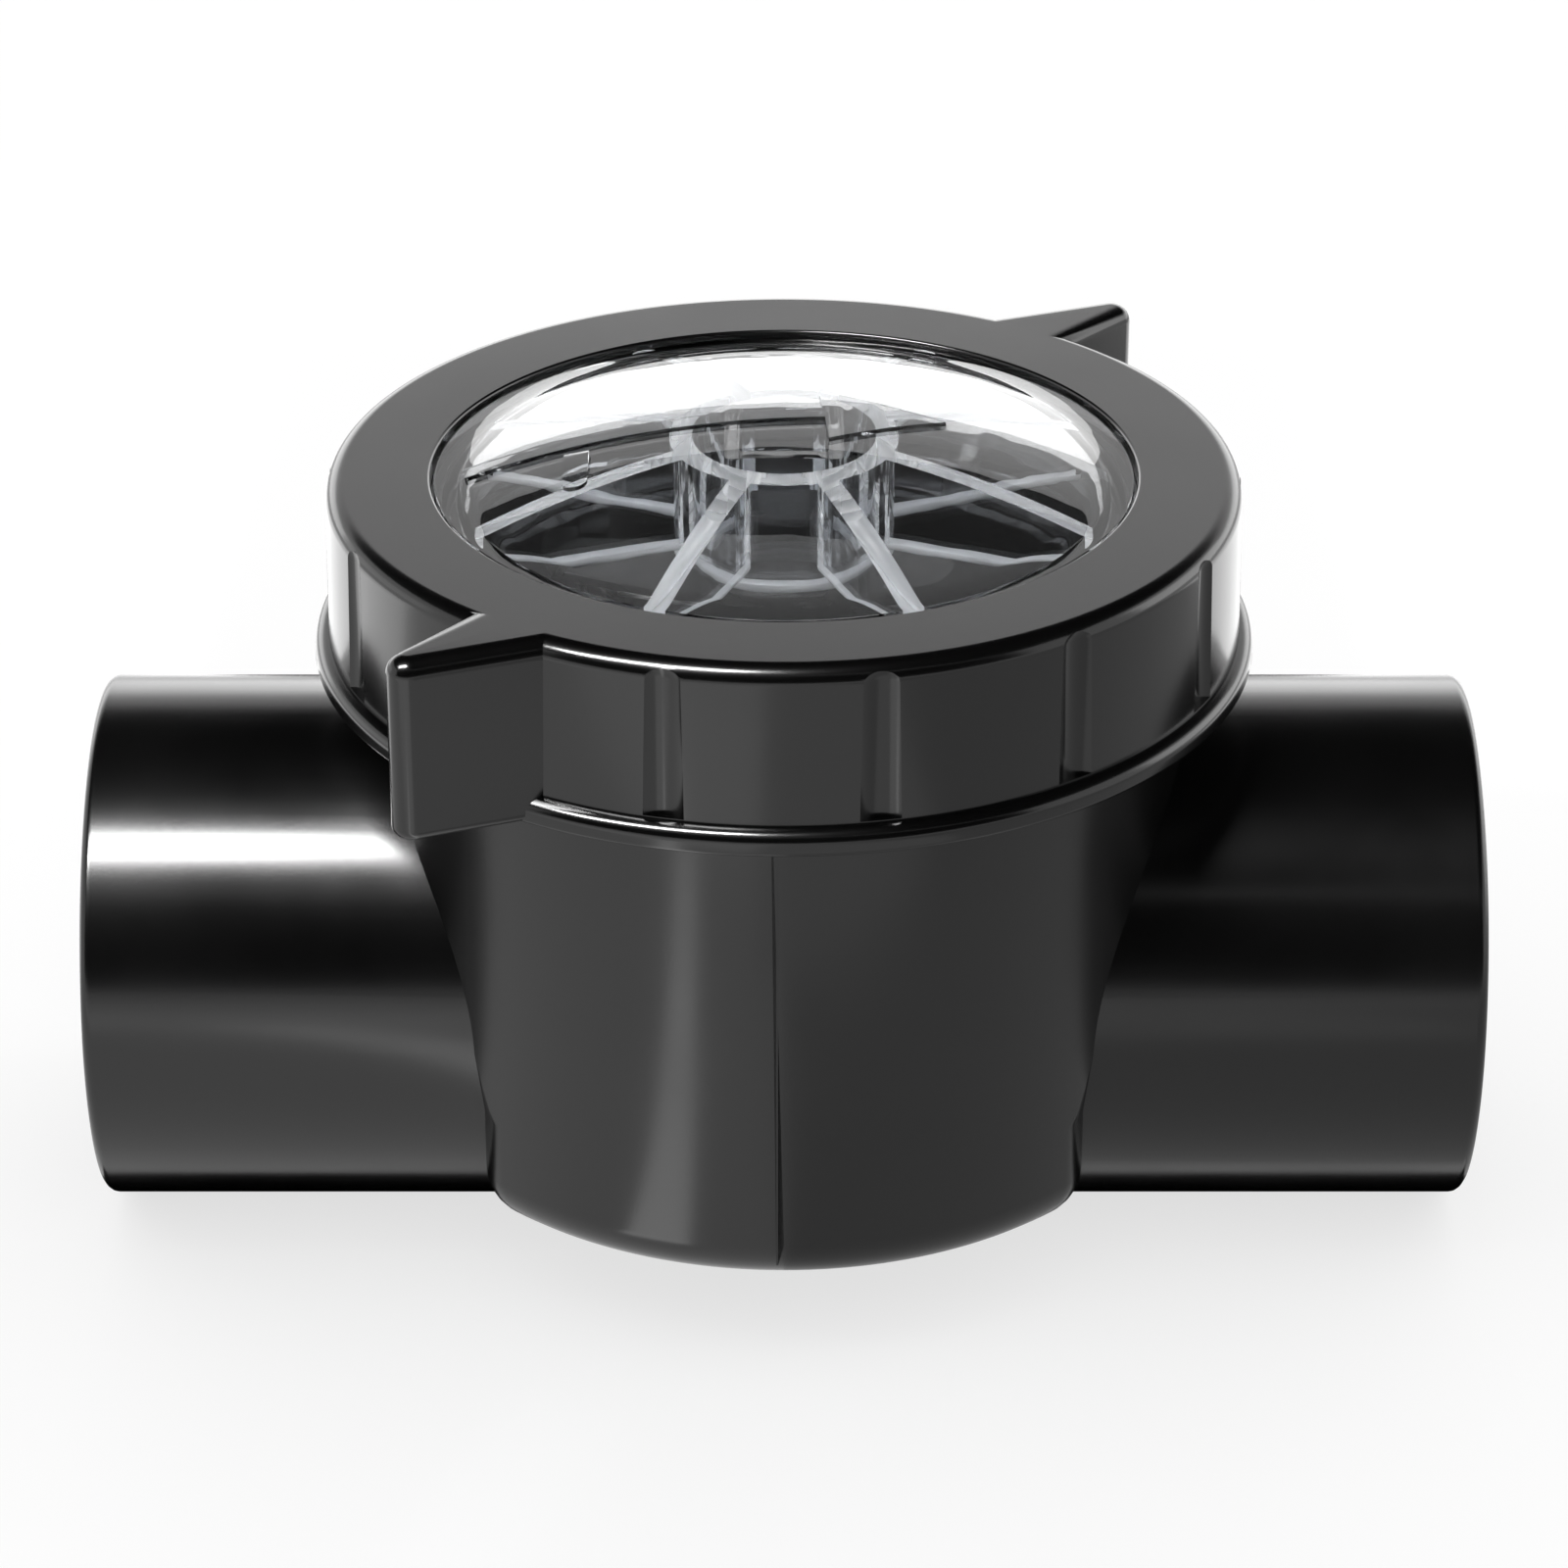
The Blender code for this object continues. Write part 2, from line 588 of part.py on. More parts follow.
def groove_angle(division):
    """Angle from -Y toward +X of one of the ring's equal divisions."""
    return GROOVE_PHASE + math.tau * division / RING_DIVISIONS


def groove_cutter(division):
    """A capsule standing beside the wall, whose side bites in by the groove's depth."""
    radius = (GROOVE_WIDTH**2 / 4 + GROOVE_DEPTH**2) / (2 * GROOVE_DEPTH)
    reach = RING_RADIUS - GROOVE_DEPTH + radius
    low = RING_BOTTOM + BEAD_HEIGHT + radius - GROOVE_END
    high = RING_TOP - GROOVE_END - radius / 2
    upper = arc((0, high), radius, math.pi / 2, 0, QUARTER_STEPS)[1:]
    lower = arc((0, low), radius, 0, -math.pi / 2, QUARTER_STEPS)[:-1]
    profile = [(0, high + radius), *upper, *lower, (0, low - radius)]
    angle = groove_angle(division)
    place = (reach * math.sin(angle), -reach * math.cos(angle), 0)
    return turned(f"groove_{division:02d}", profile, FINE_STEPS, "Z", place)


def lug_outline(angle):
    """A finger lug seen from above: one straight flank, a round tip and a hollow flank."""

    def polar(radius, lead):
        return (radius * math.sin(angle + lead), -radius * math.cos(angle + lead))

    root = RING_BORE + RING_WALL / 2
    tip = polar(RING_RADIUS + LUG_REACH - LUG_TIP, LUG_TIP_LAG)
    lead_root, lag_root = polar(root, LUG_ROOT_LEAD), polar(root, LUG_ROOT_LAG)
    to_lead = math.atan2(lead_root[1] - tip[1], lead_root[0] - tip[0])
    away = math.hypot(lead_root[0] - tip[0], lead_root[1] - tip[1])
    start = to_lead - math.acos(LUG_TIP / away)
    outward = math.atan2(tip[1], tip[0])
    end = outward - LUG_TIP_WRAP
    start += math.tau * round((outward - start) / math.tau)
    round_tip = arc(tip, LUG_TIP, start, end, LUG_FACETS)
    hollow = polar(RING_RADIUS + LUG_TIP, LUG_HOLLOW_LAG)
    return [lead_root, *round_tip, hollow, lag_root]


def make_lock_ring():
    ring = turned("lock_ring", ring_profile(), BIG_STEPS)
    lug_top = RING_TOP - LIP_EDGE
    for division in range(RING_DIVISIONS):
        if division in LUG_DIVISIONS:
            outline = lug_outline(groove_angle(division))
            lug = plate(f"lug_{division:02d}", outline, RING_BOTTOM, lug_top)
            join(ring, bevel_level(lug, lug_top, LUG_TOP_EDGE, ROUND_STEPS), port_axis)
        else:
            cut(ring, groove_cutter(division), port_axis)
    add_part(ring, black_plastic, port_axis)


# Lid


def lid_profile():
    slot_low = O_RING_Z - O_RING_SLOT / 2
    slot_high = O_RING_Z + O_RING_SLOT / 2
    inner = dome_arc(DOME_RADIUS - DOME_WALL, SKIRT_INNER, 0)
    profile = dome_arc(DOME_RADIUS, 0, DOME_CHORD)
    profile += [(FLANGE_RADIUS, FLANGE_TOP), (FLANGE_RADIUS, FLANGE_BOTTOM), (SKIRT_RADIUS, FLANGE_BOTTOM)]
    profile += [(SKIRT_RADIUS, slot_high), (O_RING_SLOT_RADIUS, slot_high)]
    profile += [(O_RING_SLOT_RADIUS, slot_low), (SKIRT_RADIUS, slot_low)]
    profile += [(SKIRT_RADIUS, SKIRT_BOTTOM + SKIRT_EDGE), (SKIRT_RADIUS - SKIRT_EDGE, SKIRT_BOTTOM)]
    profile += [(SKIRT_INNER, SKIRT_BOTTOM), *inner]
    return profile


def lid_rib(number):
    """One radial rib from the hub tube to the skirt. Its edges end in the middle of the walls they meet."""
    inside = HUB_TUBE_RADIUS - HUB_TUBE_WALL / 2
    outside = SKIRT_INNER + SKIRT_WALL / 2
    top = dome_arc(DOME_RADIUS - DOME_WALL / 2, outside, inside)
    outline = [(inside, RIB_BOTTOM), (outside, RIB_BOTTOM), *top]
    rib = plate(f"lid_rib_{number}", outline, -RIB_THICKNESS / 2, RIB_THICKNESS / 2, "XZ")
    rib.rotation_euler = (0, 0, math.tau * (number + 0.5) / RIB_COUNT)
    return rib


def lid_socket():
    """The square socket that takes the seat frame's peg."""
    inner = PEG_WIDTH / 2 + PEG_CLEARANCE
    outer = inner + SOCKET_WALL
    top = DOME_TOP - DOME_WALL / 2
    socket = box("lid_socket", (-outer, -outer, HUB_BOTTOM), (outer, outer, top))
    low = (-inner, -inner, HUB_BOTTOM - THROUGH)
    high = (inner, inner, DOME_TOP - DOME_WALL)
    cut(socket, box("lid_socket_hollow", low, high), port_axis)
    return socket


def make_lid():
    lid = turned("lid", lid_profile(), LID_STEPS)
    tube_top = DOME_TOP - DOME_WALL / 2
    inner = HUB_TUBE_RADIUS - HUB_TUBE_WALL
    join(lid, tube("lid_hub", HUB_TUBE_RADIUS, inner, HUB_BOTTOM, tube_top, "Z", steps=MID_STEPS), port_axis)
    join(lid, lid_socket(), port_axis)
    for number in range(RIB_COUNT):
        join(lid, lid_rib(number), port_axis)
    add_part(lid, clear_plastic, port_axis)


def make_lid_o_ring():
    section = O_RING_SECTION / 2
    centre = (O_RING_OUTER - section, O_RING_Z)
    profile = arc(centre, section, math.pi / 2, math.pi / 2 - math.tau, 2 * QUARTER_STEPS)[:-1]
    add_part(turned("lid_o_ring", profile, LID_STEPS), rubber, port_axis)


# Seat frame


def frame_outline():
    """The plate seen along the flow: round below, with wider ears above that run behind the rails."""
    low = arc((0, 0), FRAME_HALF_WIDTH, math.pi, math.tau, MID_STEPS // 2)
    ear = EAR_HALF_WIDTH
    step = RAIL_BOTTOM
    return [*low, (FRAME_HALF_WIDTH, step - FRAME_EAR), (ear, step), (ear, FRAME_TOP), (-ear, FRAME_TOP),
            (-ear, step), (-FRAME_HALF_WIDTH, step - FRAME_EAR)]


def bridge_outline():
    """The bridge seen from the side: up from the plate, a rounded shoulder and a level arm."""
    back, front = FRAME_BACK + BRIDGE_INSET, FRAME_FRONT - BRIDGE_INSET
    top, root = BRIDGE_TOP - BRIDGE_INSET, FRAME_TOP - BRIDGE_RISE
    shoulder = (back + BRIDGE_SHOULDER, top - BRIDGE_SHOULDER)
    outer = arc(shoulder, BRIDGE_SHOULDER, math.pi, math.pi / 2, QUARTER_STEPS)
    under = [(BUMPER_X, BRIDGE_BOTTOM), (front, BRIDGE_BOTTOM), (front, root)]
    return [(back, root), *outer, (BUMPER_X, top), *under]


def add_bridge(frame):
    join(frame, plate("bridge", bridge_outline(), -BRIDGE_HALF, BRIDGE_HALF, "XZ"), port_axis)
    boss_radius = BRIDGE_BOSS / 2
    boss_bottom = BRIDGE_BOTTOM - BRIDGE_INSET
    join(frame, rod("bridge_boss", boss_radius, boss_bottom, BRIDGE_TOP, "Z", steps=MID_STEPS), port_axis)
    place = (BUMPER_X, 0, 0)
    cup_top = BRIDGE_TOP - 2 * BRIDGE_INSET
    join(frame, rod("bumper_cup", CUP_RADIUS, CUP_BOTTOM, cup_top, "Z", place, MID_STEPS), port_axis)
    pocket_radius = BUMPER_RADIUS + FIT
    pocket = rod("bumper_pocket", pocket_radius, CUP_BOTTOM - THROUGH, BUMPER_TOP + FIT, "Z", place)
    cut(frame, pocket, port_axis)
    heel = FRAME_FRONT - FIT
    toe = GUSSET_THICKNESS - boss_radius
    gusset = [(heel, BRACKET_TOP + FIT), (toe, BRIDGE_BOTTOM + FIT), (heel, BRIDGE_BOTTOM + FIT)]
    half = GUSSET_THICKNESS / 2
    join(frame, plate("bridge_gusset", gusset, -half, half, "XZ"), port_axis)
    side = PEG_WIDTH / 2
    peg_root = BRIDGE_TOP - BRIDGE_THICKNESS / 2
    peg = box("bridge_peg", (-side, -side, peg_root), (side, side, BRIDGE_TOP + PEG_HEIGHT))
    bevel = peg.modifiers.new("Chamfer", "BEVEL")
    bevel.width = PEG_EDGE
    bevel.segments = 1
    join(frame, peg, port_axis)


def make_seat_frame():
    frame = plate("seat_frame", frame_outline(), FRAME_BACK, FRAME_FRONT, "YZ")
    seat_centre = (0, 0, -ARM_LENGTH)
    back = -SEAT_OFFSET - SEAT_DEPTH
    seat = rod("seat_ring", SEAT_RADIUS, back, -SEAT_OFFSET, "X", seat_centre, SEAT_STEPS)
    inside = FRAME_BACK + BRIDGE_INSET
    reach = 2 * SEAT_RADIUS
    cut(seat, box("behind_frame", (inside - reach, -reach, -reach), (inside, reach, reach)), port_axis)
    join(frame, seat, flap_axis)
    bore = rod("seat_bore", PASSAGE_RADIUS, back - THROUGH, 0, "X", seat_centre, SEAT_STEPS)
    cut(frame, bore, flap_axis)
    add_bridge(frame)
    for side, word in ((-1, "front"), (1, "rear")):
        start = FRAME_FRONT - SCREW_DEPTH - FIT
        hole = rod(f"frame_screw_hole_{word}", SCREW_RADIUS + FIT, start, FRAME_FRONT + THROUGH, "X",
                   (0, side * SCREW_Y, SCREW_Z), FINE_STEPS)
        cut(frame, hole, port_axis)
    add_part(frame, grey_plastic, port_axis)


def make_frame_gasket():
    inner = PASSAGE_RADIUS + GASKET_LAP
    outer = FRAME_HALF_WIDTH - FIT
    front = GASKET_BACK + GASKET_THICKNESS
    add_part(tube("frame_gasket", outer, inner, GASKET_BACK, front, "X", steps=MID_STEPS), rubber, port_axis)


def make_stop_bumper():
    bumper = rod("stop_bumper", BUMPER_RADIUS, BUMPER_BOTTOM, BUMPER_TOP, "Z", (BUMPER_X, 0, 0))
    add_part(bumper, rubber, port_axis)


# Hinge


def bracket_ear(side, word):
    """One ear: a tapered plate that ends round about the pin."""
    low, high = sorted((side * EAR_INNER, side * EAR_OUTER))
    round_end = arc((PIN_X, PIN_Z), EAR_RADIUS, -math.pi / 2, math.pi / 3, 2 * QUARTER_STEPS)
    back = BRACKET_BACK + BRACKET_THICKNESS / 2
    outline = [(back, BRACKET_BOTTOM + FIT), *round_end, (back, BRACKET_TOP - BRACKET_EDGE)]
    return plate(f"bracket_ear_{word}", outline, -high, -low, "XZ")


def make_hinge_bracket():
    low = (BRACKET_BACK, -BRACKET_HALF_WIDTH, BRACKET_BOTTOM)
    bracket = box("hinge_bracket", low, (BRACKET_FRONT, BRACKET_HALF_WIDTH, BRACKET_TOP))
    for side, word in ((-1, "front"), (1, "rear")):
        join(bracket, bracket_ear(side, word), port_axis)
        for hole, radius, y, z in (
            ("screw", SCREW_RADIUS + FIT, SCREW_Y, SCREW_Z),
            ("leg", SPRING_HOLE, COIL_END, PIN_Z + COIL_RADIUS),
        ):
            hole_name = f"bracket_{hole}_hole_{word}"
            start, end = BRACKET_BACK - THROUGH, BRACKET_FRONT + THROUGH
            cut(bracket, rod(hole_name, radius, start, end, "X", (0, side * y, z), FINE_STEPS), port_axis)
    reach = EAR_OUTER + THROUGH
    cut(bracket, rod("bracket_pin_hole", EAR_HOLE, -reach, reach, "Y", (PIN_X, 0, PIN_Z)), port_axis)
    add_part(bracket, steel, port_axis)


def make_hinge_pin():
    groove = PIN_RADIUS - PIN_GROOVE_DEPTH
    half = [(0, PIN_HALF), (PIN_RADIUS - FIT, PIN_HALF), (PIN_RADIUS, PIN_HALF - FIT)]
    half += [(PIN_RADIUS, CLIP_OUTER + FIT / 2), (groove, CLIP_OUTER + FIT / 2)]
    half += [(groove, CLIP_INNER - FIT / 2), (PIN_RADIUS, CLIP_INNER - FIT / 2)]
    other = [(radius, -place) for radius, place in reversed(half)]
    add_part(turned("hinge_pin", half + other, SMALL_STEPS, "Y"), steel, hinge_axis)


def clip_outline():
    """An open retaining clip: most of a ring, with a mouth that lets it slide onto the groove."""
    start = -math.pi / 2 + CLIP_MOUTH / 2
    end = start + math.tau - CLIP_MOUTH
    outside = arc((0, 0), CLIP_RADIUS, start, end, SMALL_STEPS)
    return outside + arc((0, 0), PIN_RADIUS - PIN_GROOVE_DEPTH + FIT, end, start, FINE_STEPS)


def make_clips_and_bushes():
    for side, word in ((-1, "front"), (1, "rear")):
        low, high = sorted((side * CLIP_INNER, side * CLIP_OUTER))
        add_part(plate(f"pin_clip_{word}", clip_outline(), -high, -low, "XZ"), steel, hinge_axis)
        profile = [(BUSH_FLANGE, BUSH_FLANGE_INNER), (BUSH_FLANGE, EAR_INNER - FIT)]
        profile += [(BUSH_RADIUS, EAR_INNER - FIT), (BUSH_RADIUS, EAR_OUTER), (BUSH_BORE, EAR_OUTER)]
        profile += [(BUSH_BORE, BUSH_FLANGE_INNER)]
        profile = [(radius, side * place) for radius, place in profile]
        if side > 0:
            profile.reverse()
        add_part(turned(f"hinge_bush_{word}", profile, SMALL_STEPS, "Y"), white_plastic, hinge_axis)


def make_bracket_screws():
    tip = FRAME_FRONT - SCREW_DEPTH
    head_back = BRACKET_FRONT + FIT
    head_front = head_back + SCREW_HEAD_HEIGHT
    edge = SCREW_HEAD_EDGE
    crown = arc((SCREW_HEAD_RADIUS - edge, head_front - edge), edge, math.pi / 2, 0, BEAD_STEPS)
    profile = [(0, head_front), *crown, (SCREW_HEAD_RADIUS, head_back), (SCREW_RADIUS, head_back)]
    profile += [(SCREW_RADIUS, tip + SCREW_RADIUS / 2), (SCREW_RADIUS / 2, tip), (0, tip)]
    for side, word in ((-1, "front"), (1, "rear")):
        place = (0, side * SCREW_Y, SCREW_Z)
        add_part(turned(f"bracket_screw_{word}", profile, FINE_STEPS, "X", place), steel, port_axis)


def coil_points(side):
    """A leg on the flap disc, the coil round the pin, and a leg that ends in the bracket's hole."""
    start = (COIL_RADIUS * math.cos(SEAT_TILT), COIL_RADIUS * math.sin(SEAT_TILT))
    tip = (start[0] + SPRING_LEG * math.sin(SEAT_TILT), start[1] - SPRING_LEG * math.cos(SEAT_TILT))
    total = math.tau * COIL_TURNS + math.pi / 2 - SEAT_TILT
    count = round(COIL_POINTS * total / math.tau)
    points = [(tip[0], side * COIL_START, tip[1])]
    for i in range(count + 1):
        turn = SEAT_TILT + total * i / count
        along = COIL_START + (COIL_END - COIL_START) * i / count
        points.append((COIL_RADIUS * math.cos(turn), side * along, COIL_RADIUS * math.sin(turn)))
    leg_end = BRACKET_BACK + FIT - PIN_X
    points.append((leg_end, side * COIL_END, COIL_RADIUS))
    return points


def make_return_springs():
    for side, word in ((-1, "front"), (1, "rear")):
        add_part(wire(f"return_spring_{word}", coil_points(side), WIRE_RADIUS), steel, hinge_axis)


# Flap, drawn about the pin: x is square to the seat, z runs back along the arm


def arm_outline():
    """The arm seen square to the seat, tapering from the hub to the round boss at the disc's centre."""
    boss = arc((0, -ARM_LENGTH), ARM_BOSS, 0, -math.pi, 2 * QUARTER_STEPS)
    return [(-ARM_HALF_WIDTH, 0), (ARM_HALF_WIDTH, 0), *boss]


def make_flap_arm():
    arm = rod("flap_arm", HUB_RADIUS, -HUB_HALF, HUB_HALF, "Y", steps=MID_STEPS // 2)
    join(arm, plate("arm_plate", list(reversed(arm_outline())), ARM_BACK, ARM_FRONT, "YZ"), flap_axis)
    rib = [(ARM_BACK + FIT, -HUB_RADIUS), (ARM_FRONT + ARM_RIB, -HUB_RADIUS - ARM_RIB)]
    rib += [(ARM_FRONT + ARM_RIB / 2, WASHER_RADIUS + ARM_RIB - ARM_LENGTH)]
    rib += [(ARM_BACK + FIT, ARM_BOSS - ARM_LENGTH)]
    half = ARM_RIB_THICKNESS / 2
    join(arm, plate("arm_rib", list(reversed(rib)), -half, half, "XZ"), flap_axis)
    shoulder = arc((ARM_FRONT - HUB_RADIUS, 0), HUB_RADIUS, 0, math.pi / 2, QUARTER_STEPS)
    web = [(ARM_FRONT, -HUB_RADIUS), *shoulder, (0, -HUB_RADIUS)]
    join(arm, plate("arm_web", web, -ARM_HALF_WIDTH, ARM_HALF_WIDTH, "XZ"), flap_axis)
    reach = HUB_HALF + THROUGH
    cut(arm, rod("arm_pin_bore", PIN_RADIUS + FIT, -reach, reach, "Y"), flap_axis)
    far = ARM_FRONT + ARM_RIB + THROUGH
    bolt_bore = rod("arm_bolt_bore", BOLT_HOLE, ARM_BACK - THROUGH, far, "X", (0, 0, -ARM_LENGTH))
    cut(arm, bolt_bore, flap_axis)
    add_part(arm, grey_plastic, flap_axis)


def make_flap_discs():
    centre = (0, 0, -ARM_LENGTH)
    corner = (DISC_RADIUS - DISC_EDGE, DISC_FRONT - DISC_EDGE)
    profile = [(BOLT_HOLE, DISC_FRONT), *arc(corner, DISC_EDGE, math.pi / 2, 0, ROUND_STEPS)]
    profile += [(DISC_RADIUS, DISC_BACK), (BOLT_HOLE, DISC_BACK)]
    add_part(turned("flap_disc", profile, MID_STEPS, "X", centre), grey_plastic, flap_axis)
    seal = tube("flap_seal", FLAP_RADIUS, BOLT_HOLE, SEAL_BACK, SEAL_FRONT, "X", centre, MID_STEPS)
    add_part(seal, rubber, flap_axis)
    back_edge = (RETAINER_RADIUS - DISC_EDGE, RETAINER_BACK)
    profile = [(BOLT_HOLE, RETAINER_FRONT), (RETAINER_RADIUS, RETAINER_FRONT)]
    profile += [(RETAINER_RADIUS, RETAINER_BACK + DISC_EDGE), back_edge, (BOLT_HOLE, RETAINER_BACK)]
    add_part(turned("seal_retainer", profile, MID_STEPS, "X", centre), steel, flap_axis)


def make_flap_fastener():
    centre = (0, 0, -ARM_LENGTH)
    head_back = BOLT_HEAD_FRONT - BOLT_HEAD_HEIGHT
    edge = BOLT_HEAD_HEIGHT / 2
    crown = arc((BOLT_HEAD_RADIUS - edge, head_back + edge), edge, 0, -math.pi / 2, ROUND_STEPS)
    profile = [(0, BOLT_END), (BOLT_RADIUS - FIT, BOLT_END), (BOLT_RADIUS, BOLT_END - FIT)]
    profile += [(BOLT_RADIUS, BOLT_HEAD_FRONT), (BOLT_HEAD_RADIUS, BOLT_HEAD_FRONT), *crown, (0, head_back)]
    add_part(turned("center_bolt", profile, SMALL_STEPS, "X", centre), steel, flap_axis)
    washer = tube("bolt_washer", WASHER_RADIUS, BOLT_HOLE, WASHER_BACK, WASHER_FRONT, "X", centre)
    add_part(washer, steel, flap_axis)
    corners = arc((0, -ARM_LENGTH), NUT_RADIUS, 0, math.tau, NUT_SIDES)[:-1]
    nut = plate("bolt_nut", corners, NUT_BACK, NUT_BACK + NUT_HEIGHT, "YZ")
    bore = rod("nut_bore", BOLT_HOLE, NUT_BACK - THROUGH, BOLT_END, "X", centre)
    cut(nut, bore, flap_axis)
    add_part(nut, steel, flap_axis)


clear_scene()
parts = new_collection("non_return_valve")
cutters = new_collection("cutters")

black_plastic = new_material("black_plastic", (0.012, 0.012, 0.013), 0.32)
grey_plastic = new_material("grey_plastic", (0.03, 0.03, 0.032), 0.4)
white_plastic = new_material("white_plastic", (0.75, 0.74, 0.7), 0.4)
clear_plastic = new_material("clear_plastic", (0.93, 0.95, 0.95), 0.04, 0.0, 0.9)
rubber = new_material("rubber", (0.015, 0.015, 0.015), 0.7)
steel = new_material("steel", (0.6, 0.6, 0.6), 0.3, 1.0)

port_axis = new_empty("port_axis", (0, 0, PORT_RADIUS))
hinge_axis = new_empty("hinge_axis", (PIN_X, 0, PIN_Z), port_axis)
flap_axis = new_empty("flap_axis", (PIN_X, 0, PIN_Z), port_axis, SEAT_TILT)

make_valve_body()
make_lock_ring()
make_lid()
make_lid_o_ring()
make_seat_frame()
make_frame_gasket()
make_stop_bumper()
make_hinge_bracket()
make_hinge_pin()
make_clips_and_bushes()
make_bracket_screws()
make_return_springs()
make_flap_arm()
make_flap_discs()
make_flap_fastener()
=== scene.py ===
# %% [markdown]
# A non-return valve is a pot with a pipe socket on each side. A flap inside lets water through one way
# only, and a clear lid under a screw-down ring lets the owner look at the flap and lift it out for
# cleaning. The construction model gives every piece its place. This lesson gives the valve its looks:
# smooth moulded shells in place of the faceted ones, threads, a clear ribbed lid, and a finish for each
# material.

# %% Load the construction model
import math

import bmesh
import bpy
import json
from mathutils import Matrix, Vector


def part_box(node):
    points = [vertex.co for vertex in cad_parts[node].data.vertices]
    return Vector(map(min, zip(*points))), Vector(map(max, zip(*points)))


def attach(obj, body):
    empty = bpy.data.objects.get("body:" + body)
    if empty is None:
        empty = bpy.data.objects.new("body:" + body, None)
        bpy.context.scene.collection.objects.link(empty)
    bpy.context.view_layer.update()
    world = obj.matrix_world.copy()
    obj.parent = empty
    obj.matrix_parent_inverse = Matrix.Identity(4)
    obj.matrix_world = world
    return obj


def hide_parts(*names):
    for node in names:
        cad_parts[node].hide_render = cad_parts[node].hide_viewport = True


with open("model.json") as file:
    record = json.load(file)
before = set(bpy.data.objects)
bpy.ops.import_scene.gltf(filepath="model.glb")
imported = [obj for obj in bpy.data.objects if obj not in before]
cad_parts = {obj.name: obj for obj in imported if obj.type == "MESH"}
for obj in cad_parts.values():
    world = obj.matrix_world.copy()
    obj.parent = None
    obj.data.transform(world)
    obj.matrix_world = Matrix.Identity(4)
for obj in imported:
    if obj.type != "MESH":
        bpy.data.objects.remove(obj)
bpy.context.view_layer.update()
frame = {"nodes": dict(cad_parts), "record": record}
nodes = frame["nodes"]

# %% [markdown]
# Every height on this valve is easiest to give from the axis of the two ports, as a plumber would. The
# port axis lies half the barrel's height above the floor, and the frame tells us where. Sizes are in
# millimetres, and one function turns a height above the port axis into a place in the scene.

# %% The port axis and the sizes that follow from the frame
MM = 0.001
BODY_LOW, BODY_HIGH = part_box("valve_body")
PORT_RADIUS = 36.5 * MM
AXIS_Z = BODY_LOW.z + PORT_RADIUS
HALF_LENGTH = BODY_HIGH.x


def up(height_mm):
    """A height above the port axis, in millimetres, as a z in the scene."""
    return AXIS_Z + height_mm * MM


print("port axis at z =", round(AXIS_Z, 4), "half length", round(HALF_LENGTH, 4))

# %% [markdown]
# Blender's operators act on whatever is selected, and loading the model leaves things selected. So the
# first helpers clear the selection, make one object active, and pick edges or faces in edit mode by their
# place.

# %% Helpers for selecting
ABOUT = 1e-5  # places closer than this are the same


def pick_none():
    if bpy.context.mode != "OBJECT":
        bpy.ops.object.mode_set(mode="OBJECT")
    bpy.ops.object.select_all(action="DESELECT")


def pick(obj):
    pick_none()
    obj.select_set(True)
    bpy.context.view_layer.objects.active = obj


def pick_edges(obj, wanted):
    """Goes into edit mode with just the edges for which wanted(edge) is true selected."""
    pick(obj)
    bpy.ops.object.mode_set(mode="EDIT")
    bpy.ops.mesh.select_mode(type="EDGE")
    bpy.ops.mesh.select_all(action="DESELECT")
    shape = bmesh.from_edit_mesh(obj.data)
    count = 0
    for edge in shape.edges:
        if wanted(edge):
            edge.select_set(True)
            count += 1
    bmesh.update_edit_mesh(obj.data)
    return count


def pick_faces(obj, wanted):
    """Goes into edit mode with just the faces for which wanted(face) is true selected."""
    pick(obj)
    bpy.ops.object.mode_set(mode="EDIT")
    bpy.ops.mesh.select_mode(type="FACE")
    bpy.ops.mesh.select_all(action="DESELECT")
    shape = bmesh.from_edit_mesh(obj.data)
    for face in shape.faces:
        face.select_set(wanted(face))
    bmesh.update_edit_mesh(obj.data)


def leave_edit():
    bpy.ops.object.mode_set(mode="OBJECT")


# %% [markdown]
# Most of this valve is turned or moulded round an axis. A cylinder primitive makes the plain stretches.
# For a form with steps and curves, one point is walked along the profile by extruding, and then spun into
# a solid.

# %% Round solids
QUARTER = math.pi / 2
TURN = {"X": (0, QUARTER, 0), "Y": (QUARTER, 0, 0), "Z": (0, 0, 0)}


def add_cylinder(name, radius, low, high, axis="Z", centre=(0, 0, 0), steps=64):
    """A closed cylinder between two places on its axis, with its place put into its mesh."""
    pick_none()
    place = Vector(centre)
    place["XYZ".index(axis)] = (low + high) / 2
    bpy.ops.mesh.primitive_cylinder_add(
        vertices=steps, radius=radius, depth=high - low, location=place, rotation=TURN[axis]
    )
    obj = bpy.context.object
    obj.name = obj.data.name = name
    bpy.ops.object.transform_apply(location=True, rotation=True, scale=True)
    return obj


def add_block(name, low, high):
    """A cube primitive brought to the size and place of two opposite corners."""
    pick_none()
    middle = [(a + b) / 2 for a, b in zip(low, high)]
    bpy.ops.mesh.primitive_cube_add(size=1, location=middle)
    obj = bpy.context.object
    obj.name = obj.data.name = name
    obj.scale = [b - a for a, b in zip(low, high)]
    bpy.ops.object.transform_apply(location=True, rotation=True, scale=True)
    return obj


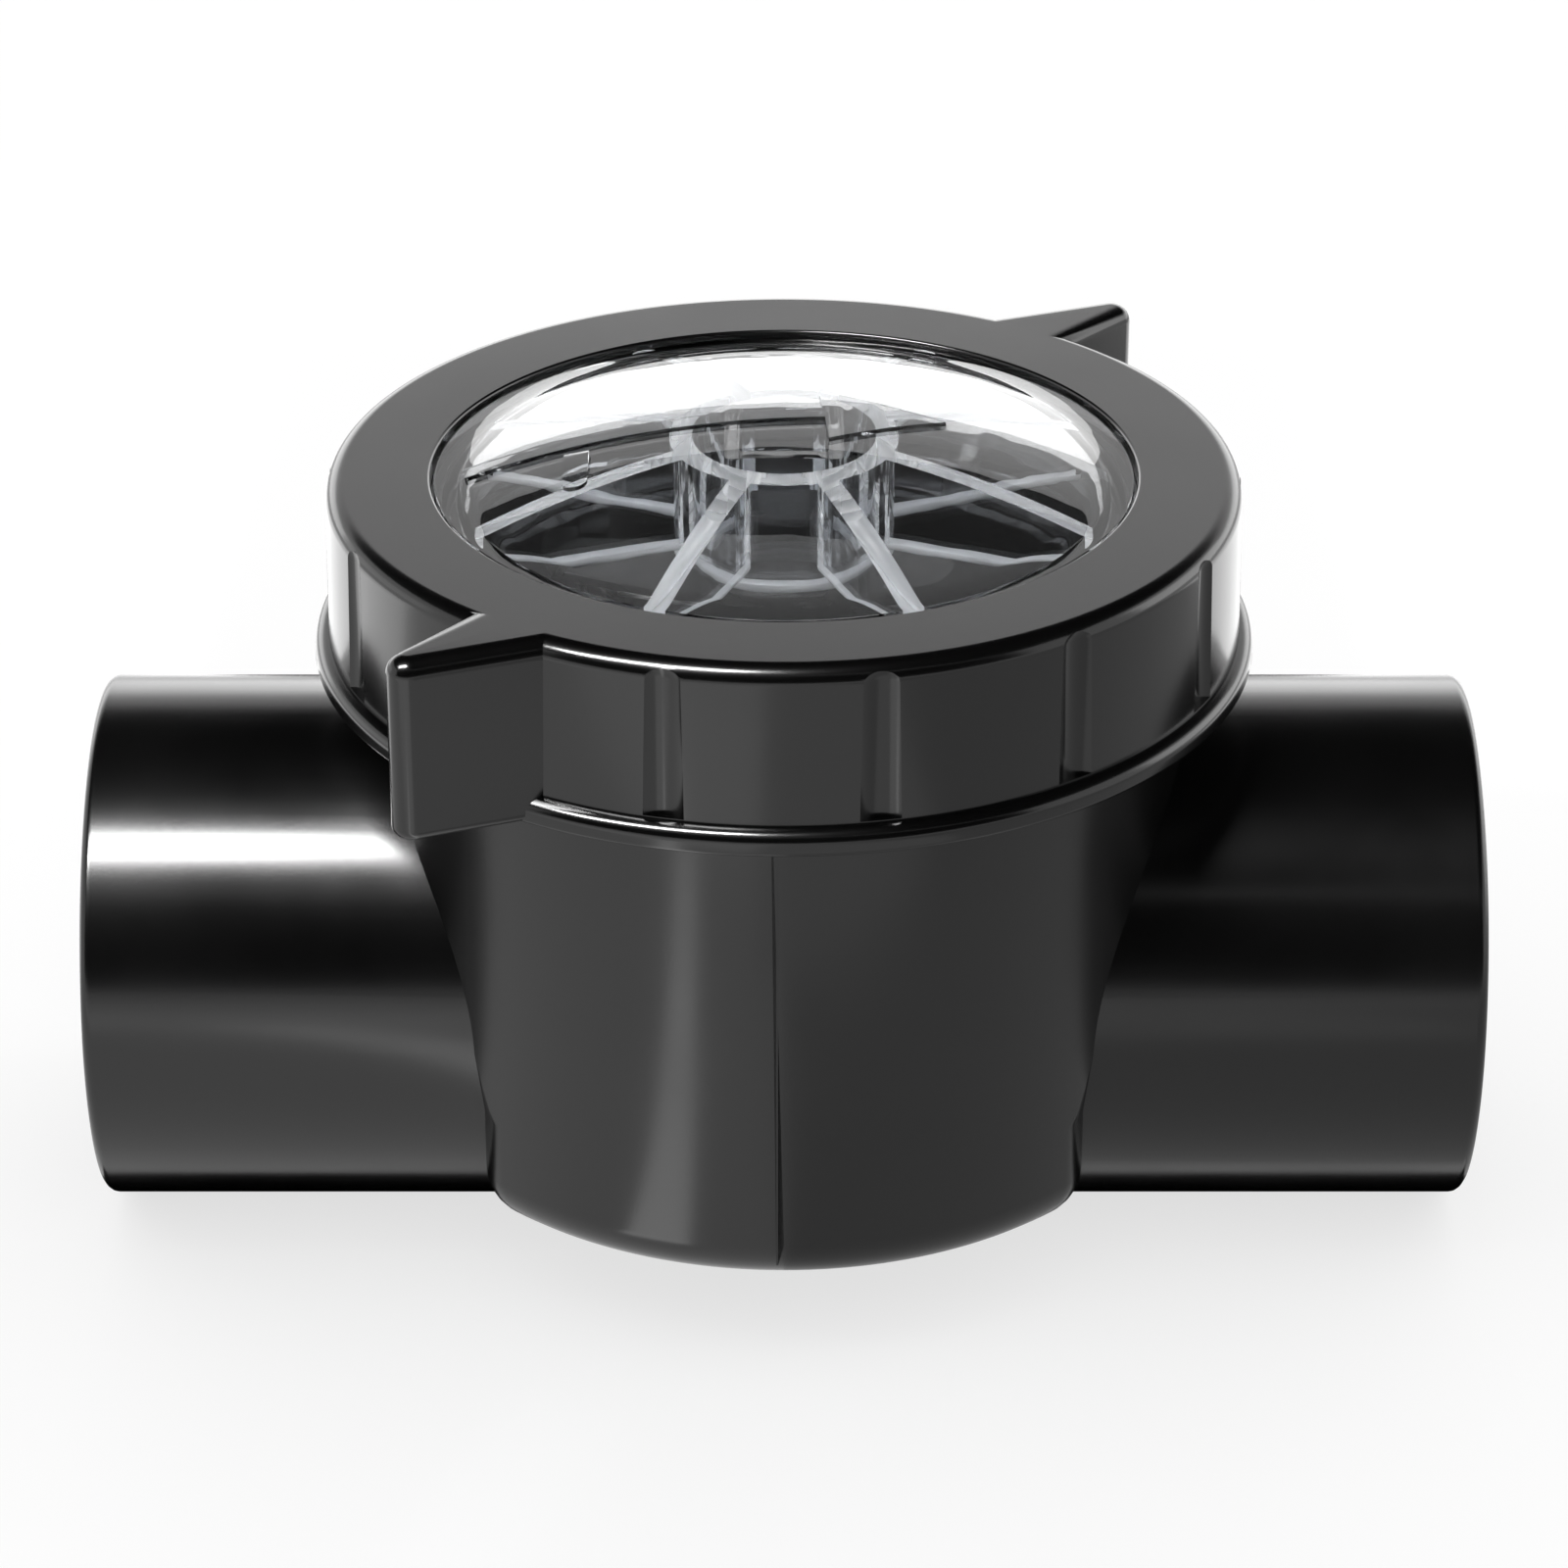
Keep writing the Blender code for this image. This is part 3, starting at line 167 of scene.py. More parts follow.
def walk(name, points):
    """One vertex walked through the points by extruding, left in edit mode with all selected."""
    pick_none()
    bpy.ops.mesh.primitive_plane_add(size=MM, location=(0, 0, 0))
    obj = bpy.context.object
    obj.name = obj.data.name = name
    bpy.ops.object.mode_set(mode="EDIT")
    bpy.ops.mesh.select_mode(type="VERT")
    bpy.ops.mesh.select_all(action="SELECT")
    bpy.ops.mesh.merge(type="CENTER")
    bpy.ops.transform.translate(value=points[0])
    for start, end in zip(points, points[1:]):
        step = Vector(end) - Vector(start)
        bpy.ops.mesh.extrude_vertices_move(TRANSFORM_OT_translate={"value": step})
    bpy.ops.mesh.select_all(action="SELECT")
    return obj


def spin(name, profile, steps, axis="Z", centre=(0, 0, 0)):
    """A solid turned about an axis from (radius, place) pairs; a closed profile repeats its first pair."""
    along = "XYZ".index(axis)
    side = (along + 1) % 3
    points = []
    for radius, place in profile:
        point = Vector(centre)
        point[side] += radius
        point[along] += place
        points.append(point)
    obj = walk(name, points)
    direction = [float(i == along) for i in range(3)]
    bpy.ops.mesh.spin(steps=steps, angle=math.tau, center=centre, axis=direction)
    bpy.ops.mesh.select_all(action="SELECT")
    bpy.ops.mesh.remove_doubles(threshold=ABOUT)
    bpy.ops.mesh.normals_make_consistent(inside=False)
    leave_edit()
    return obj


def arc(centre, radius, start, end, steps):
    """Points along an arc, both ends included; angles in degrees."""
    turns = [math.radians(start + (end - start) * i / steps) for i in range(steps + 1)]
    return [(centre[0] + radius * math.cos(a), centre[1] + radius * math.sin(a)) for a in turns]


# %% [markdown]
# Lugs, ribs and the arrow are flat outlines with a thickness. The outline is walked out and filled with
# one face, and the face is extruded. Boolean modifiers then join or cut the solids, and each modifier is
# applied at once, so that the mesh holds the finished shape.

# %% Outlines with a thickness, and Booleans
def thick_outline(name, outline, low, high, flat="XY"):
    """A closed outline in the plane named by flat, from low to high along the third axis."""
    first, second = ("XYZ".index(letter) for letter in flat)
    third = 3 - first - second
    points = []
    for u, v in outline:
        point = Vector((0, 0, 0))
        point[first], point[second], point[third] = u, v, low
        points.append(point)
    obj = walk(name, points)
    bpy.ops.mesh.edge_face_add()
    move = Vector((0, 0, 0))
    move[third] = high - low
    bpy.ops.mesh.extrude_region_move(TRANSFORM_OT_translate={"value": move})
    bpy.ops.mesh.select_all(action="SELECT")
    bpy.ops.mesh.normals_make_consistent(inside=False)
    leave_edit()
    return obj


def combine(obj, other, operation):
    """Joins, cuts or intersects obj with the other solid, which is then removed."""
    pick(obj)
    modifier = obj.modifiers.new(other.name, "BOOLEAN")
    modifier.operation = operation
    modifier.object = other
    modifier.solver = "EXACT"
    bpy.ops.object.modifier_apply(modifier=modifier.name)
    faces = len(obj.data.polygons)
    print(operation.lower(), other.name, "->", obj.name, "faces", faces, "open", open_edges(obj))
    bpy.data.objects.remove(other, do_unlink=True)
    return obj


SHARP = math.radians(30)


def bevel(obj, wanted, width, segments):
    """Rounds the edges for which wanted(edge) is true."""
    count = pick_edges(obj, wanted)
    if count:
        bpy.ops.mesh.bevel(offset=width, offset_type="OFFSET", segments=segments, affect="EDGES")
    leave_edit()
    return count


def level_edge(place, axis="Z"):
    """A test for the sharp edges that lie in the plane at this place on the axis."""
    index = "XYZ".index(axis)

    def sharp_and_level(edge):
        level = all(abs(vertex.co[index] - place) < ABOUT for vertex in edge.verts)
        return level and len(edge.link_faces) == 2 and edge.calc_face_angle() > SHARP

    return sharp_and_level


def open_edges(obj):
    """How many edges don't join exactly two faces, which is none on a closed solid."""
    shape = bmesh.new()
    shape.from_mesh(obj.data)
    count = sum(1 for edge in shape.edges if len(edge.link_faces) != 2)
    shape.free()
    return count


def finish_piece(obj, body, slot_name, material, *replaced, angle=35):
    """Shades a piece smooth up to an angle, gives it its material and lets it ride on its body."""
    pick(obj)
    bpy.ops.object.shade_smooth_by_angle(angle=math.radians(angle))
    weighted = obj.modifiers.new("Flat faces stay flat", "WEIGHTED_NORMAL")
    weighted.keep_sharp = True
    bpy.ops.object.modifier_apply(modifier=weighted.name)
    obj.data.materials.clear()
    obj.data.materials.append(material)
    if replaced:
        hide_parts(*replaced)
    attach(obj, body)
    print(obj.name, "faces", len(obj.data.polygons), "open edges", open_edges(obj))
    return obj


# %% [markdown]
# All the black pieces are injection-moulded. Their skin has a very fine grain from the mould, and the
# gloss wanders a little over a hand's breadth. Both effects go into one node group, so that every plastic
# on the valve can use them with its own strengths. The group puts out a height for the bump and a mottle
# value.

# %% The moulded skin group
GRAIN_SIZE = 3200.0
MOTTLE_SIZE = 38.0


def new_group(name, inputs, outputs):
    group = bpy.data.node_groups.new(name, "ShaderNodeTree")
    for socket, value in inputs.items():
        made = group.interface.new_socket(socket, in_out="INPUT", socket_type="NodeSocketFloat")
        made.default_value = value
    for socket in outputs:
        group.interface.new_socket(socket, in_out="OUTPUT", socket_type="NodeSocketFloat")
    return group


def add_node(tree, kind, x, y, **values):
    """A node at a place in the tree, with its properties set by name."""
    node = tree.nodes.new(kind)
    node.location = (x, y)
    for key, value in values.items():
        setattr(node, key, value)
    return node


def noise_node(tree, x, y, scale, detail, coordinates):
    noise = add_node(tree, "ShaderNodeTexNoise", x, y)
    noise.inputs["Scale"].default_value = scale
    noise.inputs["Detail"].default_value = detail
    tree.links.new(coordinates, noise.inputs["Vector"])
    return noise


moulded_skin = new_group(
    "moulded_skin", {"Grain Size": GRAIN_SIZE, "Mottle Size": MOTTLE_SIZE}, ("Height", "Mottle")
)
skin_in = add_node(moulded_skin, "NodeGroupInput", -600, 0)
skin_out = add_node(moulded_skin, "NodeGroupOutput", 400, 0)
skin_place = add_node(moulded_skin, "ShaderNodeTexCoord", -600, 300).outputs["Object"]
fine_grain = noise_node(moulded_skin, -300, 200, GRAIN_SIZE, 2.0, skin_place)
broad_mottle = noise_node(moulded_skin, -300, -100, MOTTLE_SIZE, 3.0, skin_place)
moulded_skin.links.new(skin_in.outputs["Grain Size"], fine_grain.inputs["Scale"])
moulded_skin.links.new(skin_in.outputs["Mottle Size"], broad_mottle.inputs["Scale"])
moulded_skin.links.new(fine_grain.outputs["Fac"], skin_out.inputs["Height"])
moulded_skin.links.new(broad_mottle.outputs["Fac"], skin_out.inputs["Mottle"])
print("group:", moulded_skin.name)


# %% [markdown]
# A plastic, rubber or metal finish is one Principled BSDF. The mottle moves its roughness between two
# values and shades its colour slightly, and the grain feeds a Bump node. Colours are written as linear
# values.

# %% Opaque finishes
def new_finish(
    name, dark, light, roughness, grain,
    metallic=0.0, grain_size=GRAIN_SIZE, mottle_size=MOTTLE_SIZE, ior=1.5,
):
    """A finish between two colours and two roughness values, with a bump of the grain's depth in metres."""
    material = bpy.data.materials.new(name)
    material.use_nodes = True
    tree = material.node_tree
    shader = tree.nodes["Principled BSDF"]
    shader.inputs["Metallic"].default_value = metallic
    shader.inputs["IOR"].default_value = ior
    skin = add_node(tree, "ShaderNodeGroup", -700, 0, node_tree=moulded_skin)
    skin.inputs["Grain Size"].default_value = grain_size
    skin.inputs["Mottle Size"].default_value = mottle_size
    colours = add_node(tree, "ShaderNodeMix", -400, 200, data_type="RGBA")
    colours.inputs["A"].default_value = (*dark, 1)
    colours.inputs["B"].default_value = (*light, 1)
    gloss = add_node(tree, "ShaderNodeMapRange", -400, -50)
    gloss.inputs["From Min"].default_value = 0.3
    gloss.inputs["From Max"].default_value = 0.7
    gloss.inputs["To Min"].default_value = roughness[0]
    gloss.inputs["To Max"].default_value = roughness[1]
    bump = add_node(tree, "ShaderNodeBump", -400, -350)
    bump.inputs["Strength"].default_value = 1.0
    bump.inputs["Distance"].default_value = grain
    tree.links.new(skin.outputs["Mottle"], colours.inputs["Factor"])
    tree.links.new(skin.outputs["Mottle"], gloss.inputs["Value"])
    tree.links.new(skin.outputs["Height"], bump.inputs["Height"])
    tree.links.new(colours.outputs["Result"], shader.inputs["Base Color"])
    tree.links.new(gloss.outputs["Result"], shader.inputs["Roughness"])
    tree.links.new(bump.outputs["Normal"], shader.inputs["Normal"])
    return material


DEEP_BLACK = (0.0015, 0.0015, 0.0016)
WORN_BLACK = (0.0024, 0.0023, 0.0023)
body_black = new_finish("body_black", DEEP_BLACK, WORN_BLACK, (0.19, 0.25), 0.005 * MM, ior=1.55)
ring_black = new_finish("ring_black", DEEP_BLACK, WORN_BLACK, (0.15, 0.2), 0.003 * MM, ior=1.55)
cage_black = new_finish("cage_black", (0.004, 0.004, 0.0043), (0.007, 0.007, 0.007), (0.2, 0.3), 0.006 * MM)
seal_rubber = new_finish(
    "seal_rubber", (0.012, 0.012, 0.012), (0.02, 0.0195, 0.019), (0.55, 0.7), 0.012 * MM
)
bush_white = new_finish("bush_white", (0.7, 0.69, 0.65), (0.8, 0.79, 0.76), (0.35, 0.45), 0.004 * MM)
stainless = new_finish(
    "stainless", (0.52, 0.52, 0.51), (0.66, 0.66, 0.65), (0.2, 0.34), 0.003 * MM,
    metallic=1.0, grain_size=1800.0,
)

# %% [markdown]
# The lid is clear polycarbonate. It bends light more than window glass, so its index of refraction is
# 1.58, and its surface is polished apart from the faint ripple that a moulding always keeps.

# %% The clear finish
clear_lid = bpy.data.materials.new("clear_lid")
clear_lid.use_nodes = True
clear_tree = clear_lid.node_tree
clear_shader = clear_tree.nodes["Principled BSDF"]
clear_shader.inputs["Base Color"].default_value = (0.975, 0.985, 1.0, 1)
clear_shader.inputs["Roughness"].default_value = 0.0
clear_shader.inputs["IOR"].default_value = 1.58
clear_shader.inputs["Transmission Weight"].default_value = 1.0
ripple_skin = add_node(clear_tree, "ShaderNodeGroup", -700, 0, node_tree=moulded_skin)
ripple_skin.inputs["Grain Size"].default_value = 70.0
ripple = add_node(clear_tree, "ShaderNodeBump", -400, -200)
ripple.inputs["Distance"].default_value = 0.06 * MM
clear_tree.links.new(ripple_skin.outputs["Height"], ripple.inputs["Height"])
clear_tree.links.new(ripple.outputs["Normal"], clear_shader.inputs["Normal"])

# %% [markdown]
# The lower edges of the lid's ribs and of its tube come from the floor of narrow cuts in the mould, which
# are seldom polished. They catch the light and stand out pale in the clear dome. Most of the light is
# scattered there, which a low transmission weight gives, and what is scattered leans to blue.

# %% The pale finish of the ribs
pale_rib = clear_lid.copy()
pale_rib.name = "pale_rib"
pale_shader = pale_rib.node_tree.nodes["Principled BSDF"]
pale_shader.inputs["Base Color"].default_value = (0.96, 0.98, 1.0, 1)
pale_shader.inputs["Roughness"].default_value = 0.05
pale_shader.inputs["Transmission Weight"].default_value = 0.2
print("finishes:", [material.name for material in bpy.data.materials if material.node_tree])

# %% [markdown]
# The body is one moulding: a barrel with a socket at each end, and a round pot that crosses it. Below the
# port axis the pot is cut flat on both sides and rounded underneath. It is made as the mould maker sees
# it, as plain solids that are joined, and then the waterway and the chamber are cut out of them.

# %% The body's outside
SOCKET_RADIUS = 30.3 * MM
SOCKET_STOP = 58.0 * MM
PASSAGE_RADIUS = 24.0 * MM
POT_RADIUS = 55.5 * MM
BORE_RADIUS = 50.0 * MM
NECK_TOP = 63.842
FLAT_HALF = 40.798 * MM
UNDERSIDE = -24.0
LOWER_TOP = 5.0
FLAT_TOP = -8.0
FLAT_RUN_OUT = 10.0
RUN_OUT_SHIFT = 2.5 * MM
WELL_OUTSIDE = 1.7  # the waste reaches this many times as far out as the flat's corner
BIG = 192  # facets on a large round
PAST = 1.0 * MM  # how far a cutter runs past the face that it opens

barrel = add_cylinder("body_shell", PORT_RADIUS, -HALF_LENGTH, HALF_LENGTH, "X", (0, 0, AXIS_Z), BIG)
for end in (-HALF_LENGTH, HALF_LENGTH):
    bevel(barrel, level_edge(end, "X"), 1.5 * MM, 4)

FLAT_CORNER = 8.0 * MM
CORNER_TURN = math.acos((FLAT_HALF - FLAT_CORNER) / (POT_RADIUS - FLAT_CORNER))


def flat_waste(side):
    """The waste beside one flat of the pot. It leans outward above, so the flat fades into the round."""
    turn = math.degrees(CORNER_TURN)
    rise = (POT_RADIUS - FLAT_CORNER) * math.sin(CORNER_TURN)
    outline = arc((FLAT_HALF - FLAT_CORNER, -rise), FLAT_CORNER, -turn, 0, 6)
    outline += arc((FLAT_HALF - FLAT_CORNER, rise), FLAT_CORNER, 0, turn, 6)
    x, y = outline[-1]
    outline += [(WELL_OUTSIDE * x, WELL_OUTSIDE * y), (WELL_OUTSIDE * x, -WELL_OUTSIDE * y)]
    mirrored = [(side * a, b) for a, b in outline]
    waste = thick_outline("flat_waste", mirrored, up(UNDERSIDE) - PAST, up(FLAT_TOP))
    pick_faces(waste, lambda face: all(abs(vertex.co.z - up(FLAT_TOP)) < ABOUT for vertex in face.verts))
    move = (side * RUN_OUT_SHIFT, 0, (FLAT_RUN_OUT - FLAT_TOP) * MM)
    bpy.ops.mesh.extrude_region_move(TRANSFORM_OT_translate={"value": move})
    leave_edit()
    return waste


pot = add_cylinder("pot", POT_RADIUS, up(UNDERSIDE), up(NECK_TOP), steps=BIG)
bevel(pot, level_edge(up(NECK_TOP)), 0.8 * MM, 2)
PARTING_X = -0.9 * MM
PARTING_HALF = 0.12 * MM
seam_low = (PARTING_X - PARTING_HALF, -POT_RADIUS - 0.08 * MM, up(UNDERSIDE + 4))
seam_high = (PARTING_X + PARTING_HALF, -POT_RADIUS + 1 * MM, up(NECK_TOP - 2))
combine(pot, add_block("parting_seam", seam_low, seam_high), "UNION")
for side in (-1, 1):
    combine(pot, flat_waste(side), "DIFFERENCE")
print("rim edges:", bevel(pot, level_edge(up(UNDERSIDE)), 7.0 * MM, 8), "open:", open_edges(pot))

# %% [markdown]
# The waterway is a turned form: a socket for the pipe with a lead-in chamfer, a stop, and a narrower
# passage. The chamber is a round bore that stops against a flat inlet wall, where the cartridge seals,
# and gets narrower on both sides below the port axis, with a half-round trough for the cartridge's lower
# edge.

# %% The body's inside
SHELF = 38.542
CHAMBER_HALF = 37.298 * MM
FLOOR = -20.0
TROUGH_RADIUS = 30.0 * MM
LEAD_IN = 1.2 * MM
combine(barrel, pot, "UNION")
mouth = HALF_LENGTH + PAST
half_way = [(0, mouth), (SOCKET_RADIUS + LEAD_IN, mouth), (SOCKET_RADIUS + LEAD_IN, HALF_LENGTH)]
half_way += [(SOCKET_RADIUS, HALF_LENGTH - LEAD_IN), (SOCKET_RADIUS, SOCKET_STOP)]
half_way += [(PASSAGE_RADIUS, SOCKET_STOP)]
way = half_way + [(radius, -place) for radius, place in reversed(half_way)]
combine(barrel, spin("waterway", way, BIG, "X", (0, 0, AXIS_Z)), "DIFFERENCE")

chamber_top = add_cylinder("chamber_top", BORE_RADIUS, up(SHELF), up(NECK_TOP) + PAST, steps=BIG)
combine(barrel, chamber_top, "DIFFERENCE")
for name, low, high, sides in (
    ("chamber_middle", LOWER_TOP, SHELF + 1, (-1,)),
    ("chamber_lower", FLOOR, LOWER_TOP + 1, (-1, 1)),
):
    hollow = add_cylinder(name, BORE_RADIUS, up(low), up(high), steps=BIG)
    for side in sides:
        pick(hollow)
        bpy.ops.object.mode_set(mode="EDIT")
        bpy.ops.mesh.select_all(action="SELECT")
        bpy.ops.mesh.bisect(
            plane_co=(side * CHAMBER_HALF, 0, 0), plane_no=(side, 0, 0), use_fill=True, clear_outer=True
        )
        leave_edit()
    combine(barrel, hollow, "DIFFERENCE")
trough = add_cylinder("trough", TROUGH_RADIUS, -CHAMBER_HALF, CHAMBER_HALF, "X", (0, 0, AXIS_Z), 96)
combine(barrel, trough, "DIFFERENCE")

RAIL_START = -29.398 * MM
RAIL_END = -25.398 * MM
RAIL_INNER = 30.5
RAIL_OUTER = 45.8
RAIL_LOW = 6
RAIL_HIGH = 48.442
for side in (-1, 1):
    near, far = sorted((side * RAIL_INNER * MM, side * RAIL_OUTER * MM))
    rail = add_block("rail", (RAIL_START, near, up(RAIL_LOW)), (RAIL_END, far, up(RAIL_HIGH)))
    combine(barrel, rail, "UNION")
finish_piece(barrel, "body", "black_plastic", body_black, "valve_body", angle=30)

# %% [markdown]
# The ring's screw thread shows only when the ring is off, but it is what holds the lid down. One ridge is
# a small trapezoid walked round the neck by the Screw modifier, which climbs by the lead on each turn.

# %% The threads
LEAD = 6.0
THREAD_STEPS = 96
RING_BOTTOM = 46.442
RING_TOP = 71.942
RING_BORE = 57.2 * MM
LIP_BOTTOM = 69.442
THREAD_SINK = 0.3 * MM  # a ridge's foot reaches this far into the wall behind it
THREAD_FOOT = 2.4
THREAD_TIP = 1.2


def helix(name, root, crest, start, turns):
    """A ridge that winds round the lid's axis, from its root radius to its crest, closed at both ends."""
    half, edge = THREAD_FOOT / 2, THREAD_TIP / 2
    points = [(root, 0, up(start - half)), (crest, 0, up(start - edge))]
    points += [(crest, 0, up(start + edge)), (root, 0, up(start + half))]
    obj = walk(name, points)
    bpy.ops.mesh.edge_face_add()
    leave_edit()
    pick(obj)
    screw = obj.modifiers.new("Winding", "SCREW")
    screw.angle = math.tau * turns
    screw.screw_offset = LEAD * MM * turns
    screw.steps = screw.render_steps = round(THREAD_STEPS * turns)
    bpy.ops.object.modifier_apply(modifier=screw.name)
    pick_edges(obj, lambda edge: True)
    bpy.ops.mesh.remove_doubles(threshold=ABOUT)
    bpy.ops.mesh.select_all(action="SELECT")
    bpy.ops.mesh.fill_holes(sides=4)
    bpy.ops.mesh.normals_make_consistent(inside=False)
    leave_edit()
    return obj


neck_thread = helix("neck_thread", POT_RADIUS - THREAD_SINK, 56.6 * MM, 48.4, 2.25)
finish_piece(neck_thread, "body", "black_plastic", body_black)
ring_thread = helix("ring_thread", RING_BORE + THREAD_SINK, 56.1 * MM, 51.4, 2.5)
finish_piece(ring_thread, "ring", "black_plastic", ring_black)

# %% [markdown]
# The lock ring's wall is a cylinder with a rounded top edge. Its two lugs are outlines with a thickness,
# whose tops lie level with the ring's, so from above ring and lugs are one flat shape. The bore, the
# opening and its lip are then turned out of the joined solid in one cut, and a bead is joined round the
# bottom. The sizes follow the photograph, and differ from the construction model's by up to 1.7 mm.

# %% The lock ring's wall
RING_STEPS = 256
RING_RADIUS = 62.2 * MM
RING_WALL_TOP = 61.9 * MM
OPENING_RADIUS = 47.8 * MM
BEAD_RADIUS = 64.1 * MM
BEAD_TOP = RING_BOTTOM + 3.5
TOP_EDGE = 2.5
wall = [(0, up(RING_BOTTOM)), (RING_RADIUS, up(RING_BOTTOM)), (RING_RADIUS, up(BEAD_TOP))]
wall += arc((RING_WALL_TOP - TOP_EDGE * MM, up(RING_TOP - TOP_EDGE)), TOP_EDGE * MM, 0, 90, 10)
ring = spin("ring_shell", [*wall, (0, up(RING_TOP))], RING_STEPS)

# %% [markdown]
# A lug is seen from above as one long straight flank in front, a round tip and a short flank behind, so
# that fingers can push it both ways. Its front and its tip have the ring's rounding on top. Behind, the
# rounding fades to a sharp edge where the lug meets the ring. Angles are measured from the front,
# positive to the right.

# %% The lugs
DIVISIONS = 14
FIRST_LUG = -40.0
LUG_SINK = 0.01 * MM  # the lug's top lies this little below the ring's, so the two faces don't coincide
LUG_TIP = 2.8 * MM
LUG_FOOT_EDGE = 1.5 * MM
LUG_REACH = 15 * MM
LUG_ROOT = 5 * MM  # both flanks run on this far inside the wall
TIP_TURN = 0.5
FRONT_TURN = 10.3
BACK_TURN = 1.6


def polar(radius, degrees):
    """A point at an angle from the front, -Y, toward +X."""
    turn = math.radians(degrees)
    return Vector((radius * math.sin(turn), -radius * math.cos(turn)))


def lug_outline(angle):
    """The lug's outline from inside the ring along the front flank, round the tip and back inside."""
    tip = polar(RING_RADIUS + LUG_REACH - LUG_TIP, angle + TIP_TURN)
    front = polar(RING_RADIUS, angle + FRONT_TURN)
    away = front - tip
    start = math.degrees(math.atan2(away.y, away.x) - math.acos(LUG_TIP / away.length))
    outward = math.degrees(math.atan2(tip.y, tip.x))
    start += 360 * round((outward - start) / 360)
    round_tip = [Vector(point) for point in arc(tip, LUG_TIP, start, outward - 90, 14)]
    run = (front - round_tip[0]).normalized()
    inner_front = front + LUG_ROOT * run
    inner_back = polar(RING_RADIUS - LUG_ROOT, angle - BACK_TURN)
    return [inner_front, *round_tip, inner_back]


def add_lug(ring, angle):
    top = up(RING_TOP) - LUG_SINK
    outline = lug_outline(angle)
    lug = thick_outline("lug", outline, up(RING_BOTTOM), top)
    inner_front, inner_back = outline[0], outline[-1]

    def runs_between_ends(edge):
        ends = (inner_front, inner_back)
        return all(min((v.co.xy - end).length for end in ends) < ABOUT for v in edge.verts)

    at_top = level_edge(top)
    at_foot = level_edge(up(RING_BOTTOM))
    bevel(lug, lambda edge: at_top(edge) and not runs_between_ends(edge), TOP_EDGE * MM, 8)
    bevel(lug, lambda edge: at_foot(edge) and not runs_between_ends(edge), LUG_FOOT_EDGE, 4)
    back = (outline[-1] - outline[-2]).normalized()
    inward = Vector((back.y, -back.x))
    if inward.dot(inner_front - inner_back) < 0:
        inward = -inward
    for vertex in lug.data.vertices:
        offset = (vertex.co.xy - inner_back).dot(inward)
        along = (vertex.co.xy - inner_back).dot(back)
        drop = top - vertex.co.z
        if abs(along) < TOP_EDGE * MM and offset < TOP_EDGE * MM + ABOUT and drop < TOP_EDGE * MM + ABOUT:
            if offset < drop:
                vertex.co.xy -= offset * inward
            else:
                vertex.co.z = top
    combine(ring, lug, "UNION")


for division in (0, DIVISIONS // 2):
    add_lug(ring, FIRST_LUG + 360 * division / DIVISIONS)

# %% [markdown]
# The grooves between the lugs give wet fingers a grip. Each is cut by a round bar with a domed end, whose
# side bites into the wall. The dome runs into the rounding above, and the bar's flat end stands on the
# bead.

# %% The grooves, the bore and the bead
GROOVE_DEPTH = 1.05 * MM
GROOVE_WIDTH = 5.6 * MM
GROOVE_END = 2.4


def add_groove(ring, angle):
    radius = (GROOVE_WIDTH**2 / 4 + GROOVE_DEPTH**2) / (2 * GROOVE_DEPTH)
    low, high = up(BEAD_TOP + 0.3), up(RING_TOP - GROOVE_END)
    bar = [(0, low), (radius, low), *arc((0, high), radius, 0, 90, 10)]
    reach = polar(RING_RADIUS - GROOVE_DEPTH + radius, angle)
    combine(ring, spin("groove", bar, 64, "Z", (reach.x, reach.y, 0)), "DIFFERENCE")


for division in range(DIVISIONS):
    if division not in (0, DIVISIONS // 2):
        add_groove(ring, FIRST_LUG + 360 * division / DIVISIONS)

BORE_LEAD_IN = 0.6
OPENING_EDGE = 0.5 * MM
EDGE_CENTRE = RING_TOP - 0.48
lead_in_radius = RING_BORE + BORE_LEAD_IN * MM
edge_radius = OPENING_RADIUS + OPENING_EDGE
bore = [(0, up(RING_BOTTOM) - PAST), (lead_in_radius, up(RING_BOTTOM) - PAST)]
bore += [(lead_in_radius, up(RING_BOTTOM)), (RING_BORE, up(RING_BOTTOM + BORE_LEAD_IN))]
bore += [(RING_BORE, up(LIP_BOTTOM)), (OPENING_RADIUS, up(LIP_BOTTOM))]
bore += arc((edge_radius, up(EDGE_CENTRE)), OPENING_EDGE, 180, 90, 5)
bore += [(edge_radius, up(RING_TOP) + PAST), (0, up(RING_TOP) + PAST)]
combine(ring, spin("bore", bore, RING_STEPS), "DIFFERENCE")

BEAD_ROUND = 1.9
BEAD_FOOT = 0.6 * MM
inside = RING_BORE + 2.5 * MM
bead = [(inside, up(RING_BOTTOM + 0.4)), (inside, up(BEAD_TOP))]
bead += arc((BEAD_RADIUS - BEAD_ROUND * MM, up(BEAD_TOP - BEAD_ROUND)), BEAD_ROUND * MM, 90, 0, 12)
bead += arc((BEAD_RADIUS - BEAD_FOOT, up(RING_BOTTOM + 0.61)), BEAD_FOOT, 0, -90, 4)
bead += [(inside + 2.0 * MM, up(RING_BOTTOM + 0.01)), (inside, up(RING_BOTTOM + 0.4))]
combine(ring, spin("bead", bead, RING_STEPS), "UNION")
finish_piece(ring, "ring", "black_plastic", ring_black, "lock_ring", angle=30)

# %% [markdown]
# The lid is a dome with a skirt that carries the O-ring. Eight ribs run under the dome from a tube in the
# middle to the skirt, and a square socket in the tube keeps the cartridge's peg from turning. Clear
# plastic shows every inner surface, so all these solids are joined into one closed mesh with nothing left
# inside it.

